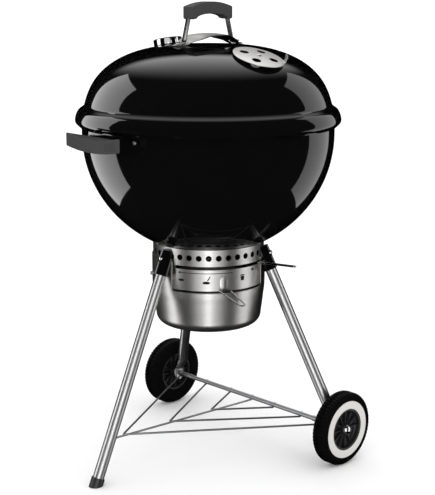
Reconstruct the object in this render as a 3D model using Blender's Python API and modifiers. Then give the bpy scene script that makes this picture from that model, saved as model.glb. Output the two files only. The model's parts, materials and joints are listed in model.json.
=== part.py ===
"""Kettle charcoal grill on three legs, with two wheels, an ash catcher and a wire storage rack.

Metres, +Z up, standing on Z = 0. The kettle's axis is vertical. The single foot points to -X and
the axle runs along Y, so the grill tips back and rolls towards +X. Everything is placed from the
kettle's axis by one empty, which centres the whole grill's box on the origin.
"""

import math

import bmesh
import bpy
import numpy as np
from mathutils import Matrix, Vector

GAP = 0.0003  # between pieces that touch
SHEET = 0.0012  # enamelled steel of the lid and the bowl

# Bowl: a short straight wall over half an ellipse
BOWL_RADIUS = 0.286
BOWL_RIM_Z = 0.8118
BOWL_WALL_END_Z = 0.752
BOWL_DEPTH = 0.273
BOWL_STEPS = 40
VENT_REACH = 0.064
VENT_RADIUS = 0.019

# Lid: a dome that is a superellipse with a slight taper, over a rounded skirt
DOME_RADIUS = BOWL_RADIUS - 0.0044
DOME_BASE_Z = BOWL_RIM_Z + 0.0002
DOME_HEIGHT = 0.142
DOME_TOP_Z = DOME_BASE_Z + DOME_HEIGHT
DOME_TAPER = 0.0365
DOME_POWER = 2.79
SKIRT = (  # (outwards, upwards) from the bowl's rim, down the outside of the rounded skirt to its lip
    (-0.0059, 0.0072),
    (-0.0015, 0.0034),
    (0.0065, -0.0026),
    (0.0105, -0.0093),
    (0.0132, -0.0163),
    (0.0145, -0.0233),
    (0.0136, -0.0298),
    (0.0090, -0.0353),
    (0.0033, -0.0403),
)

# Lid handle and heat shield
HANDLE_HALF_SPAN = 0.0625
HANDLE_HEIGHT = 0.092
HANDLE_TOP_Z = DOME_TOP_Z + HANDLE_HEIGHT
STRAP_FOOT_REACH = 0.090
STRAP_WIDTH = 0.014
STRAP_THICKNESS = 0.0025
SHIELD_ARCH = ((0.069, 0.0060), (0.048, 0.0130), (0.027, 0.0205))  # (from its middle, above the dome)
SHIELD_CREST = 0.023
SHIELD_HALF_WIDTH = 0.044

# Lid damper and thermometer: distance from the axis, direction, tilt from the dome
DAMPER_REACH = 0.1805
DAMPER_BEARING = math.radians(262.5)
DAMPER_TILT = math.radians(-1.88)
DAMPER_LEAN_BEARING = math.radians(267)
DAMPER_HEIGHT = 0.0050
DAMPER_RADIUS = 0.0565
DAMPER_SAG = 0.0037
DAMPER_HOLE_REACH = 0.0325
DAMPER_HOLE_RADIUS = 0.0100
DAMPER_HOLE_TURN = math.radians(40)
DAMPER_TAB_TURN = math.radians(57)
DIAL_REACH = 0.133
DIAL_BEARING = math.radians(90)
DIAL_RADIUS = 0.0335
DIAL_HEIGHT = 0.015

# Side handles
SIDE_REACH = BOWL_RADIUS + 0.052
SIDE_HALF_LENGTH = 0.090
SIDE_BOW = 0.002
SIDE_HEIGHT = 0.0285
SIDE_DEPTH = 0.022
SIDE_SAG = 0.009
SIDE_Z = 0.761

# Ash catcher
COLLAR_RADIUS = 0.1288
COLLAR_TOP_Z = BOWL_WALL_END_Z - BOWL_DEPTH * math.sqrt(1 - (COLLAR_RADIUS / BOWL_RADIUS) ** 2) - 0.00105
COLLAR_BOTTOM_Z = 0.414
COLLAR_WALL = 0.0012
AIR_HOLES = 36
AIR_HOLE_RADIUS = 0.0068
AIR_HOLE_Z = 0.4885
AIR_HOLE_BEARING = math.radians(6.5)
SLOT_Z = 0.466
SLOT_HEIGHT = 0.0076
SLOT_START = math.radians(191)
SLOT_END = math.radians(291)
BUCKET_RADIUS = COLLAR_RADIUS + 0.0024
BUCKET_TOP_Z = 0.476
BUCKET_BOTTOM_Z = 0.312
BUCKET_CORNER = 0.024
WINDOW_Z = 0.409
WINDOW_START = math.radians(186.5)
WINDOW_END = math.radians(292)
LATCH_BEARING = math.radians(241.5)
LATCH_Z = 0.4165
LEVER_BEARING = math.radians(287)
LEVER_REACH = COLLAR_RADIUS + 0.0942

# Legs, wheels and rack
LEG_RADIUS = 0.0127
LEG_WALL = 0.0015
LEG_TOP_REACH = COLLAR_RADIUS + 0.0152
LEG_TOP_Z = 0.456
FOOT_REACH = 0.3455
FOOT_CAP_RADIUS = 0.015
FOOT_CAP_HEIGHT = 0.018
WHEEL_LEG_BEARING = math.radians(60)
WHEEL_RADIUS = 0.0853
WHEEL_WIDTH = 0.0387
AXLE_X = 0.1435
AXLE_RADIUS = 0.0052
LEG_END_Y = 0.262
WHEEL_INNER_Y = LEG_END_Y + 0.010
LEG_BEND_Z = WHEEL_RADIUS + 0.0427
TYRE_BORE = 0.048
WHITEWALL_OUTER = 0.067
HUB_CAP_HEIGHT = 0.008
RACK_WIRE = 0.0023

# Grates
GRATE_Z = 0.7455
GRATE_RADIUS = BOWL_RADIUS - 0.014
GRATE_WIRE = 0.0035
GRATE_ROD = 0.0028
FLAP_X = 0.150
ROD_PITCH = 0.025
COAL_GRATE_Z = 0.590
COAL_PITCH = 0.040
COAL_GRATE_RADIUS = BOWL_RADIUS * math.sqrt(1 - ((BOWL_WALL_END_Z - COAL_GRATE_Z) / BOWL_DEPTH) ** 2) - 0.0137

FOOT_SLOPE = math.atan2(FOOT_REACH - LEG_TOP_REACH, LEG_TOP_Z)
FOOT_TOE = FOOT_REACH + FOOT_CAP_RADIUS / math.cos(FOOT_SLOPE)
KETTLE_X = (FOOT_TOE - SIDE_REACH) / 2

ENAMEL = ("black_enamel", (0.012, 0.012, 0.013), 0.12, 0.0)
NYLON = ("grey_nylon", (0.11, 0.11, 0.11), 0.55, 0.0)
DARK_NYLON = ("dark_nylon", (0.02, 0.02, 0.02), 0.5, 0.0)
CHROME = ("bright_chrome", (0.8, 0.8, 0.8), 0.1, 1.0)
ALUMINIUM = ("brushed_aluminium", (0.62, 0.62, 0.62), 0.32, 1.0)
LEG_METAL = ("leg_aluminium", (0.55, 0.55, 0.56), 0.3, 1.0)
STEEL = ("plated_steel", (0.45, 0.45, 0.45), 0.3, 1.0)
RUBBER = ("black_tyre", (0.014, 0.014, 0.014), 0.7, 0.0)
WHITEWALL = ("white_ring", (0.7, 0.7, 0.7), 0.5, 0.0)
DIAL_FACE = ("dial_face", (0.75, 0.75, 0.73), 0.5, 0.0)
GLASS = ("dial_glass", (0.9, 0.9, 0.9), 0.03, 0.0)
NEEDLE_RED = ("needle_red", (0.5, 0.02, 0.02), 0.4, 0.0)


# ---------------------------------------------------------------- scene and objects


def clear_scene():
    for obj in list(bpy.data.objects):
        bpy.data.objects.remove(obj, do_unlink=True)


def new_collection(name):
    collection = bpy.data.collections.new(name)
    bpy.context.scene.collection.children.link(collection)
    return collection


def finish_of(finish):
    """The material for a finish, made the first time that it is asked for."""
    name, colour, roughness, metallic = finish
    found = bpy.data.materials.get(name)
    if found:
        return found
    made = bpy.data.materials.new(name)
    made.use_nodes = True
    shader = made.node_tree.nodes["Principled BSDF"]
    shader.inputs["Base Color"].default_value = (*colour, 1)
    shader.inputs["Roughness"].default_value = roughness
    shader.inputs["Metallic"].default_value = metallic
    return made


def empty(name, matrix, parent):
    made = bpy.data.objects.new(name, None)
    parts.objects.link(made)
    made.parent = parent
    made.matrix_local = matrix
    return made


def place(obj, finish, parent, matrix=None):
    """Puts a finished object in the parts, or with no finish among the cutters and helpers."""
    (parts if finish else cutters).objects.link(obj)
    if finish:
        obj.data.materials.append(finish_of(finish))
    else:
        obj.hide_render = True
        obj.display_type = "WIRE"
    obj.parent = parent
    if matrix:
        obj.matrix_local = matrix
    return obj


def mesh_object(name, bm, smooth=True):
    """An object that holds what was built in bm."""
    bmesh.ops.recalc_face_normals(bm, faces=bm.faces)
    mesh = bpy.data.meshes.new(name)
    bm.to_mesh(mesh)
    bm.free()
    if smooth:
        mesh.shade_smooth()
        mesh.set_sharp_from_angle(angle=math.radians(35))
    return bpy.data.objects.new(name, mesh)


def cut(obj, cutter):
    modifier = obj.modifiers.new(f"cut_{cutter.name}", "BOOLEAN")
    modifier.operation = "DIFFERENCE"
    modifier.object = cutter


def join(obj, other):
    modifier = obj.modifiers.new(f"join_{other.name}", "BOOLEAN")
    modifier.operation = "UNION"
    modifier.object = other


def round_edges(obj, width, segments=2):
    modifier = obj.modifiers.new("round_edges", "BEVEL")
    modifier.width = width
    modifier.segments = segments
    modifier.limit_method = "ANGLE"
    modifier.angle_limit = math.radians(40)


# ---------------------------------------------------------------- shapes


def cylinder(name, radius, low, high, sides=16, top_radius=None):
    """A closed cylinder or cone about Z, from low to high."""
    bm = bmesh.new()
    bmesh.ops.create_cone(
        bm,
        cap_ends=True,
        segments=sides,
        radius1=radius,
        radius2=radius if top_radius is None else top_radius,
        depth=high - low,
        matrix=Matrix.Translation((0, 0, (low + high) / 2)),
    )
    return mesh_object(name, bm)


def box(name, size, centre):
    bm = bmesh.new()
    bmesh.ops.create_cube(bm, size=1, matrix=Matrix.Translation(centre) @ Matrix.Diagonal((*size, 1)))
    return mesh_object(name, bm, smooth=False)


def turned(name, profile, steps, closed=False):
    """A profile of (radius, z) points turned about Z. It runs down the outer side, top to bottom."""
    mesh = bpy.data.meshes.new(name)
    edges = [(i, i + 1) for i in range(len(profile) - 1)]
    if closed:
        edges.append((len(profile) - 1, 0))
    mesh.from_pydata([(radius, 0, z) for radius, z in profile], edges, [])
    obj = bpy.data.objects.new(name, mesh)
    screw = obj.modifiers.new("turn", "SCREW")
    screw.steps = steps
    screw.render_steps = steps
    screw.use_merge_vertices = True
    screw.merge_threshold = 0.00002
    screw.use_smooth_shade = True
    return obj


def tube(name, outer, inner, low, high, steps=20):
    return turned(name, [(outer, high), (outer, low), (inner, low), (inner, high)], steps, closed=True)


def thicken(obj, thickness, offset=-1):
    solid = obj.modifiers.new("thickness", "SOLIDIFY")
    solid.thickness = thickness
    solid.offset = offset
    solid.use_even_offset = True


def strap(name, path, widths, thickness):
    """A bent strip: path is its side view as (x, z) points, and its width runs along Y."""
    if isinstance(widths, float):
        widths = [widths] * len(path)
    bm = bmesh.new()
    rows = [
        [bm.verts.new((x, side * width / 2, z)) for side in (-1, 1)]
        for (x, z), width in zip(path, widths)
    ]
    for (a, b), (c, d) in zip(rows, rows[1:]):
        bm.faces.new((a, b, d, c))
    obj = mesh_object(name, bm)
    thicken(obj, thickness, offset=0)
    return obj


def curve_to_mesh(curve_object):
    """The curve's shape as a mesh object with its caps welded. The curve itself is removed."""
    bpy.context.scene.collection.objects.link(curve_object)
    bpy.context.view_layer.update()
    graph = bpy.context.evaluated_depsgraph_get()
    mesh = bpy.data.meshes.new_from_object(curve_object.evaluated_get(graph))
    bm = bmesh.new()
    bm.from_mesh(mesh)
    bmesh.ops.remove_doubles(bm, verts=bm.verts, dist=0.00001)
    bm.to_mesh(mesh)
    bm.free()
    made = bpy.data.objects.new(curve_object.name + "_mesh", mesh)
    made.matrix_world = curve_object.matrix_world
    name = curve_object.name
    bpy.data.objects.remove(curve_object, do_unlink=True)
    made.name = name
    mesh.name = name
    return made


def wire(name, points, radius, closed=False):
    """A round wire through the points, as a mesh that can be cut and joined."""
    curve = bpy.data.curves.new(name, "CURVE")
    curve.dimensions = "3D"
    spline = curve.splines.new("POLY")
    spline.points.add(len(points) - 1)
    for point, place_of in zip(spline.points, points):
        point.co = (*place_of, 1)
    spline.use_cyclic_u = closed
    curve.bevel_depth = radius
    curve.bevel_resolution = 2
    curve.use_fill_caps = True
    return curve_to_mesh(bpy.data.objects.new(name, curve))


def outline(name, points, low, high):
    """A flat outline of (x, y) points, extruded from low to high along Z."""
    curve = bpy.data.curves.new(name, "CURVE")
    curve.dimensions = "2D"
    curve.fill_mode = "BOTH"
    spline = curve.splines.new("POLY")
    spline.points.add(len(points) - 1)
    for point, (x, y) in zip(spline.points, points):
        point.co = (x, y, 0, 1)
    spline.use_cyclic_u = True
    curve.extrude = (high - low) / 2
    obj = curve_to_mesh(bpy.data.objects.new(name, curve))
    obj.data.transform(Matrix.Translation((0, 0, (low + high) / 2)))
    return obj


def loft(name, rings):
    """A solid skinned over rings that have the same number of points."""
    bm = bmesh.new()
    rows = [[bm.verts.new(point) for point in ring] for ring in rings]
    for lower, upper in zip(rows, rows[1:]):
        for i, corner in enumerate(lower):
            j = (i + 1) % len(lower)
            bm.faces.new((corner, lower[j], upper[j], upper[i]))
    bm.faces.new(rows[0])
    bm.faces.new(rows[-1])
    return mesh_object(name, bm)


def arc(centre, radius, start, end, steps):
    """Points on a circle's arc, from the start angle to the end angle."""
    return [
        (centre[0] + radius * math.cos(angle), centre[1] + radius * math.sin(angle))
        for angle in np.linspace(start, end, steps + 1)
    ]


def pointing(start, end, across=(0, 1, 0)):
    """A frame at start with Z towards end and Y as near as it goes to across."""
    along = (Vector(end) - Vector(start)).normalized()
    side = Vector(across)
    side = (side - side.dot(along) * along).normalized()
    axes = Matrix((side.cross(along), side, along)).transposed()
    return Matrix.Translation(start) @ axes.to_4x4()


def turn_z(angle):
    return Matrix.Rotation(angle, 4, "Z")


def polar(reach, bearing, z):
    return Vector((reach * math.cos(bearing), reach * math.sin(bearing), z))


# ---------------------------------------------------------------- curves of the kettle


def dome_curve(steps):
    """Points down the outside of the dome, from its top to its base."""
    points = []
    for turn in np.linspace(math.pi / 2, 0, steps + 1):
        rise = max(math.sin(turn), 0) ** (2 / DOME_POWER)
        spread = max(math.cos(turn), 0) ** (2 / DOME_POWER)
        points.append(
            ((DOME_RADIUS - DOME_TAPER * rise) * spread, DOME_BASE_Z + (DOME_TOP_Z - DOME_BASE_Z) * rise)
        )
    points[0] = (0, DOME_TOP_Z)
    return points


def dome_z(reach):
    """Height of the dome's outside at a distance from the axis."""
    points = dome_curve(200)
    return float(np.interp(reach, [p[0] for p in points], [p[1] for p in points]))


def dome_lean(reach):
    """How far the dome's outside leans from level."""
    return math.atan2(dome_z(reach - 0.005) - dome_z(reach + 0.005), 0.01)


def dome_frame(reach, bearing):
    """A frame on the dome's outside: Z along its normal, X down the slope, away from the axis."""
    tilt = Matrix.Rotation(dome_lean(reach), 4, "Y")
    return Matrix.Translation(polar(reach, bearing, dome_z(reach))) @ turn_z(bearing) @ tilt


def damper_frame():
    """A frame on the dome under the damper's middle, with Z along the damper's own axis."""
    spot = polar(DAMPER_REACH, DAMPER_BEARING, dome_z(DAMPER_REACH))
    tilt = Matrix.Rotation(dome_lean(DAMPER_REACH) + DAMPER_TILT, 4, "Y")
    return Matrix.Translation(spot) @ turn_z(DAMPER_LEAN_BEARING) @ tilt


def damper_hole(index):
    """Where one of the four vents lies in the damper's frame."""
    return turn_z(DAMPER_HOLE_TURN + index * math.pi / 2) @ Matrix.Translation((DAMPER_HOLE_REACH, 0, 0))


def bowl_inner_z(reach):
    """Height of the inside of the bowl's round bottom at a distance from the axis."""
    share = reach / (BOWL_RADIUS - SHEET)
    return BOWL_WALL_END_Z - (BOWL_DEPTH - SHEET) * math.sqrt(1 - share * share)


# ---------------------------------------------------------------- lid


def lid_profile():
    return dome_curve(9)[:-1] + [(BOWL_RADIUS + out, BOWL_RIM_Z + up) for out, up in SKIRT]


def handle_path():
    """Side view of the lid handle's strap: foot, arm, the run inside the grip, arm, foot."""
    above = STRAP_THICKNESS / 2 + 0.0021
    arm_z = dome_z(0.077) + above
    inside = (HANDLE_HALF_SPAN - 0.007, HANDLE_TOP_Z - 0.020)
    right = [inside, (0.0735, arm_z + 0.004), (0.077, arm_z), (0.101, dome_z(0.101) + above)]
    return [(-x, z) for x, z in reversed(right)] + right


def build_lid(kettle):
    lid = turned("lid", lid_profile(), BOWL_STEPS)
    thicken(lid, SHEET)
    place(lid, ENAMEL, kettle)
    for index in range(4):
        hole = cylinder(f"lid_vent_cutter_{index}", DAMPER_HOLE_RADIUS, -0.02, 0.02, 12)
        place(hole, None, kettle, damper_frame() @ damper_hole(index))
        cut(lid, hole)
    for name, frame, radius in (
        ("rivet_hole", damper_frame(), 0.0034),
        ("stem_hole", dome_frame(DIAL_REACH, DIAL_BEARING), 0.0043),
        ("left_bolt_hole", dome_frame(STRAP_FOOT_REACH, math.pi), 0.0034),
        ("right_bolt_hole", dome_frame(STRAP_FOOT_REACH, 0), 0.0034),
    ):
        cutter = place(cylinder(name, radius, -0.02, 0.02, 12), None, kettle, frame)
        cut(lid, cutter)


def grip_outline():
    """Side view of the lid handle's grip as (x, z): arched top, finger hollow underneath."""
    end = HANDLE_HALF_SPAN
    rise = 0.011
    radius = (end * end + rise * rise) / (2 * rise)
    spread = math.asin(end / radius)
    top = arc((0, HANDLE_TOP_Z - radius), radius, math.pi / 2 + spread, math.pi / 2 - spread, 8)
    base = HANDLE_TOP_Z - 0.0365
    hollow = [(0.046 * math.cos(a), base + 0.010 * math.sin(a)) for a in np.linspace(0, math.pi, 9)]
    low = HANDLE_TOP_Z - 0.036
    foot = [(end, low), (end - 0.006, low - 0.0025)]
    return top + foot + hollow + [(-x, z) for x, z in reversed(foot)]


def build_lid_handle(kettle):
    strap_piece = strap("lid_handle_strap", handle_path(), STRAP_WIDTH, STRAP_THICKNESS)
    place(strap_piece, STEEL, kettle)
    upright = Matrix.Rotation(math.pi / 2, 4, "X")
    grip = outline("lid_handle_grip", grip_outline(), -0.0145, 0.0145)
    round_edges(grip, 0.0065)
    place(grip, NYLON, kettle, upright)
    channel = strap("grip_channel", handle_path(), STRAP_WIDTH + 2 * GAP, STRAP_THICKNESS + 2 * GAP)
    cut(grip, place(channel, None, kettle))
    flange = [(x, dome_z(x) + 0.0012) for x in (0.100, 0.081)]
    half = flange + [(x, DOME_TOP_Z + rise) for x, rise in SHIELD_ARCH]
    shield_path = [(-x, z) for x, z in half] + [(0, DOME_TOP_Z + SHIELD_CREST)] + half[::-1]
    half_widths = [0.026, 0.036, 0.050, 0.072, 0.084]
    shield_widths = half_widths + [2 * SHIELD_HALF_WIDTH] + half_widths[::-1]
    shield = strap("heat_shield", shield_path, shield_widths, 0.001)
    place(shield, ALUMINIUM, kettle)
    for x in (-0.0755, 0.0755):
        notch = box(f"arm_slot_{x:+.3f}", (0.012, STRAP_WIDTH + 0.002, 0.05), (x, 0, DOME_TOP_Z + 0.011))
        cut(shield, place(notch, None, kettle))
    for side, bearing in (("left", math.pi), ("right", 0.0)):
        build_handle_bolt(side, bearing, kettle, (strap_piece, shield))


def build_handle_bolt(side, bearing, kettle, clamped):
    """The bolt that holds one foot of the lid handle, with the holes that it needs."""
    frame = dome_frame(STRAP_FOOT_REACH, bearing)
    hole = place(cylinder(f"{side}_foot_hole", 0.0034, 0.0, 0.02, 12), None, kettle, frame)
    for piece in clamped:
        cut(piece, hole)
    profile = [(0, 0.0108), (0.0032, 0.0104), (0.0055, 0.0085), (0.0060, 0.0062), (0.003, 0.0062)]
    bolt = turned(f"lid_handle_bolt_{side}", profile + [(0.003, -0.008), (0, -0.008)], 16)
    place(bolt, CHROME, kettle, frame)


def build_damper(kettle):
    pivot = empty("damper_pivot", damper_frame() @ Matrix.Translation((0, 0, DAMPER_HEIGHT)), kettle)
    plate_profile = [
        (DAMPER_RADIUS * share, -DAMPER_SAG * share * share) for share in np.linspace(0, 1, 4)
    ]
    plate = turned("lid_damper", plate_profile, 32)
    thicken(plate, 0.0012)
    place(plate, ALUMINIUM, pivot)
    for index in range(4):
        hole = cylinder(f"damper_cutter_{index}", DAMPER_HOLE_RADIUS, -0.01, 0.01, 16)
        cut(plate, place(hole, None, pivot, damper_hole(index)))
    edge = -DAMPER_SAG - 0.0006
    tab_path = [(-0.0065, edge), (0.0013, edge), (0.0027, 0.012)]
    tab = strap("damper_tab", [(DAMPER_RADIUS + out, z) for out, z in tab_path], 0.020, 0.0014)
    join(plate, place(tab, None, pivot, turn_z(DAMPER_TAB_TURN)))
    cut(plate, place(cylinder("damper_bore", 0.0033, -0.01, 0.01, 12), None, pivot))
    low = -DAMPER_HEIGHT - 0.006
    profile = [(0, 0.0020), (0.0045, 0.0014), (0.0056, 0.0003), (0.003, 0.0003), (0.003, low), (0, low)]
    place(turned("lid_damper_rivet", profile, 16), CHROME, pivot)


def build_thermometer(kettle):
    base = dome_frame(DIAL_REACH, DIAL_BEARING) @ Matrix.Translation((0, 0, 0.0024))
    seat = empty("thermometer_seat", base, kettle)
    case = [
        (0.0300, DIAL_HEIGHT),
        (0.0320, DIAL_HEIGHT),
        (DIAL_RADIUS, DIAL_HEIGHT - 0.002),
        (DIAL_RADIUS, 0),
        (0.0037, 0),
        (0.0037, 0.002),
        (0.0315, 0.002),
        (0.0315, DIAL_HEIGHT - 0.0014),
        (0.0300, DIAL_HEIGHT - 0.0010),
    ]
    place(turned("thermometer_bezel", case, 20, closed=True), CHROME, seat)
    glass_z = DIAL_HEIGHT - 0.0035
    place(cylinder("thermometer_glass", 0.0311, glass_z, glass_z + 0.0017, 24), GLASS, seat)
    face = [(0.0310, 0.0062), (0.0310, 0.0052), (0.0042, 0.0052), (0.0042, 0.0062)]
    dial = turned("thermometer_dial", face, 24, True)
    place(dial, DIAL_FACE, seat)
    neck = [(0, 0.0071), (0.0026, 0.0071), (0.0026, 0.0050)]
    stem = turned("thermometer_stem", neck + [(0.0034, 0.0050), (0.0034, -0.052), (0, -0.054)], 12)
    place(stem, STEEL, seat)
    nut = tube("thermometer_nut", 0.0095, 0.0043, -0.0125, -0.0072, 6)
    place(nut, STEEL, seat)
    pivot = empty("needle_pivot", Matrix.Translation((0, 0, 0.0076)), seat)
    lower = [(-0.008, -0.0012), (0.008, -0.0012), (0.024, -0.0004)]
    needle = outline("thermometer_needle", lower + [(x, -y) for x, y in reversed(lower)], 0.0, 0.0008)
    place(needle, NEEDLE_RED, pivot, turn_z(math.radians(140)))


def build_lid_hook(kettle):
    """The hook welded inside the lid, which hangs it on the bowl's rim while food is turned."""
    frame = dome_frame(0.200, math.pi)
    path = [(-0.010, -0.0035), (0.012, -0.0035), (0.012, -0.026), (0.004, -0.030), (0.001, -0.024)]
    hook = strap("lid_hook", path, 0.016, 0.002)
    place(hook, STEEL, kettle, frame)
    pin = place(cylinder("hook_stud", 0.0026, -0.0040, -0.0020, 12), None, kettle, frame)
    join(hook, pin)


# ---------------------------------------------------------------- bowl


def bowl_profile():
    bottom = [
        (BOWL_RADIUS * math.cos(turn), BOWL_WALL_END_Z - BOWL_DEPTH * math.sin(turn))
        for turn in np.linspace(0, math.pi / 2, 10)
    ]
    bottom[-1] = (0, BOWL_WALL_END_Z - BOWL_DEPTH)
    return [(BOWL_RADIUS, BOWL_RIM_Z)] + bottom


def build_bowl(kettle):
    bowl = turned("bowl", bowl_profile(), BOWL_STEPS)
    thicken(bowl, SHEET)
    place(bowl, ENAMEL, kettle)
    hub_hole = place(cylinder("hub_hole", 0.0058, 0.46, 0.50, 16), None, kettle)
    cut(bowl, hub_hole)
    for index in range(3):
        bearing = LEVER_BEARING + math.radians(60 + 120 * index)
        vent = cylinder(f"vent_cutter_{index}", VENT_RADIUS, 0.46, 0.52, 16)
        cut(bowl, place(vent, None, kettle, Matrix.Translation(polar(VENT_REACH, bearing, 0))))
    for index in range(3):
        build_grate_tab(index, math.radians(30 + 120 * index), kettle)
    return bowl


def build_grate_tab(index, bearing, kettle):
    """An angle welded to the bowl's wall, with a ledge that the cooking grate rests on."""
    wall = BOWL_RADIUS - SHEET - 0.0034
    ledge_z = GRATE_Z - GRATE_WIRE - 0.0011
    path = [(wall - 0.024, ledge_z), (wall, ledge_z), (wall - 0.0022, ledge_z - 0.020)]
    tab = strap(f"grate_tab_{index + 1}", path, 0.018, 0.0015)
    place(tab, STEEL, kettle, turn_z(bearing))


def side_outline():
    """Plan of a side handle's grip, which reaches along +X: a bowed bar with slanted ends."""
    radius = (SIDE_HALF_LENGTH**2 + SIDE_BOW**2) / (2 * SIDE_BOW)
    spread = math.asin((SIDE_HALF_LENGTH - 0.0015) / radius)
    outer = arc((SIDE_REACH - radius, 0), radius, -spread, spread, 8)
    inner = SIDE_REACH - SIDE_DEPTH
    end = [(SIDE_REACH - 0.0065, SIDE_HALF_LENGTH - 0.003), (SIDE_REACH - 0.017, SIDE_HALF_LENGTH - 0.020)]
    back = [(inner, SIDE_HALF_LENGTH - 0.030), (inner, 0.030)]
    half = end + back
    return outer + half + [(inner, 0)] + [(x, -y) for x, y in reversed(half)]


def seat_reach(y):
    """Where a side handle's bracket lies against the bowl's wall."""
    return math.sqrt(BOWL_RADIUS**2 - y * y) + 0.0021


def build_side_handle(side, bearing, kettle, bowl):
    turn = turn_z(bearing)
    half = SIDE_HEIGHT / 2
    grip = outline(f"side_grip_{side}", side_outline(), SIDE_Z - half, SIDE_Z + half)
    for vertex in grip.data.vertices:
        vertex.co.z -= SIDE_SAG * (1 - (vertex.co.y / SIDE_HALF_LENGTH) ** 2)
    round_edges(grip, 0.005)
    place(grip, NYLON, kettle, turn)
    inner = SIDE_REACH - SIDE_DEPTH - 0.0015
    plan = [(seat_reach(0.081), 0.081), (seat_reach(0.062), 0.062), (inner, 0.055)]
    plan += [(x, -y) for x, y in reversed(plan)]
    lying = Matrix.Rotation(math.pi / 2, 4, "X")
    bracket = strap(f"side_bracket_{side}", [(x, -y) for x, y in plan], 0.019, 0.002)
    place(bracket, ENAMEL, kettle, turn @ Matrix.Translation((0, 0, SIDE_Z - 0.005)) @ lying)
    for end, sign in (("a", -1), ("b", 1)):
        angle = sign * math.asin(0.0715 / BOWL_RADIUS)
        start = polar(BOWL_RADIUS, bearing + angle, SIDE_Z)
        frame = pointing(start, start + polar(0.1, bearing + angle, 0), (0, 0, 1))
        hole = cylinder(f"hole_{side}_{end}", 0.0028, -0.01, 0.02, 12)
        place(hole, None, kettle, frame)
        cut(bowl, hole)
        cut(bracket, hole)
        profile = [(0, 0.0075), (0.0030, 0.0071), (0.0046, 0.0058), (0.0048, 0.0040), (0.0025, 0.0040)]
        screw = turned(f"side_screw_{side}_{end}", profile + [(0.0025, -0.006), (0, -0.006)], 12)
        place(screw, CHROME, kettle, frame)


# ---------------------------------------------------------------- ash catcher


def sector(inner, outer, start, end, steps):
    """Plan of a ring's sector, or of a wedge when inner is 0."""
    outside = arc((0, 0), outer, start, end, steps)
    inside = arc((0, 0), inner, end, start, steps) if inner else [(0.0, 0.0)]
    return outside + inside


def build_collar(kettle):
    facet = math.pi / AIR_HOLES
    inside = COLLAR_RADIUS - COLLAR_WALL
    collar = tube("ash_collar", COLLAR_RADIUS, inside, COLLAR_BOTTOM_Z, COLLAR_TOP_Z, AIR_HOLES)
    place(collar, ALUMINIUM, kettle, turn_z(AIR_HOLE_BEARING - facet))
    for index in range(AIR_HOLES):
        bearing = AIR_HOLE_BEARING + 2 * facet * index
        start = polar(COLLAR_RADIUS - 0.03, bearing, AIR_HOLE_Z)
        frame = pointing(start, start + polar(0.1, bearing, 0), (0, 0, 1))
        hole = cylinder(f"air_hole_{index}", AIR_HOLE_RADIUS, 0, 0.05, 8)
        cut(collar, place(hole, None, kettle, frame))
    slot = outline(
        "lever_slot",
        sector(COLLAR_RADIUS - 0.014, COLLAR_RADIUS + 0.016, SLOT_START, SLOT_END, 12),
        SLOT_Z - SLOT_HEIGHT / 2,
        SLOT_Z + SLOT_HEIGHT / 2,
    )
    cut(collar, place(slot, None, kettle))
    edge, middle = COLLAR_RADIUS + 0.0009, COLLAR_RADIUS + 0.0013
    tab_path = [(edge, 0.4475), (middle, 0.440), (middle, 0.425), (edge, 0.4155)]
    tab = strap("latch_tab", tab_path, [0.010, 0.018, 0.020, 0.012], 0.001)
    place(tab, ALUMINIUM, kettle, turn_z(LATCH_BEARING))
    hang = Matrix.Translation(polar(COLLAR_RADIUS + 0.0058, LATCH_BEARING, LATCH_Z))
    pivot = empty("latch_pivot", hang @ turn_z(LATCH_BEARING), kettle)
    top = [(0, -0.0125, 0.0), (0, 0.0125, 0.0)]
    low = [(0.0490, -0.0360), (0.0470, -0.0385), (0.0385, -0.0385), (0.0360, -0.0370)]
    bottom = [(-0.001, y, z) for y, z in low]
    pull = wire("latch_pull", top + bottom, 0.0016, closed=True)
    place(pull, CHROME, pivot)


def build_bucket(kettle):
    low_radius = BUCKET_RADIUS - 0.0087
    taper = ((0.0, BUCKET_TOP_Z), (0.0003, 0.409), (0.0032, 0.380), (0.0062, 0.355))
    side = [(BUCKET_RADIUS - inwards, z) for inwards, z in taper]
    corner = arc(
        (low_radius - BUCKET_CORNER, BUCKET_BOTTOM_Z + BUCKET_CORNER), BUCKET_CORNER, 0, -math.pi / 2, 4
    )
    bucket = turned("ash_bucket", side + corner + [(0, BUCKET_BOTTOM_Z)], 36)
    thicken(bucket, 0.001)
    place(bucket, ALUMINIUM, kettle)
    opening = sector(0, BUCKET_RADIUS + 0.04, WINDOW_START, WINDOW_END, 12)
    window = outline("window_cutter", opening, WINDOW_Z, 0.50)
    cut(bucket, place(window, None, kettle))
    for index, bearing in enumerate((math.radians(147), math.radians(327))):
        start = polar(BUCKET_RADIUS - 0.001, bearing, 0.432)
        frame = pointing(start, start + polar(0.1, bearing, 0), (0, 0, 1))
        knob = cylinder(f"bucket_knob_{index}", 0.004, 0, 0.007, 12)
        join(bucket, place(knob, None, kettle, frame))


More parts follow.
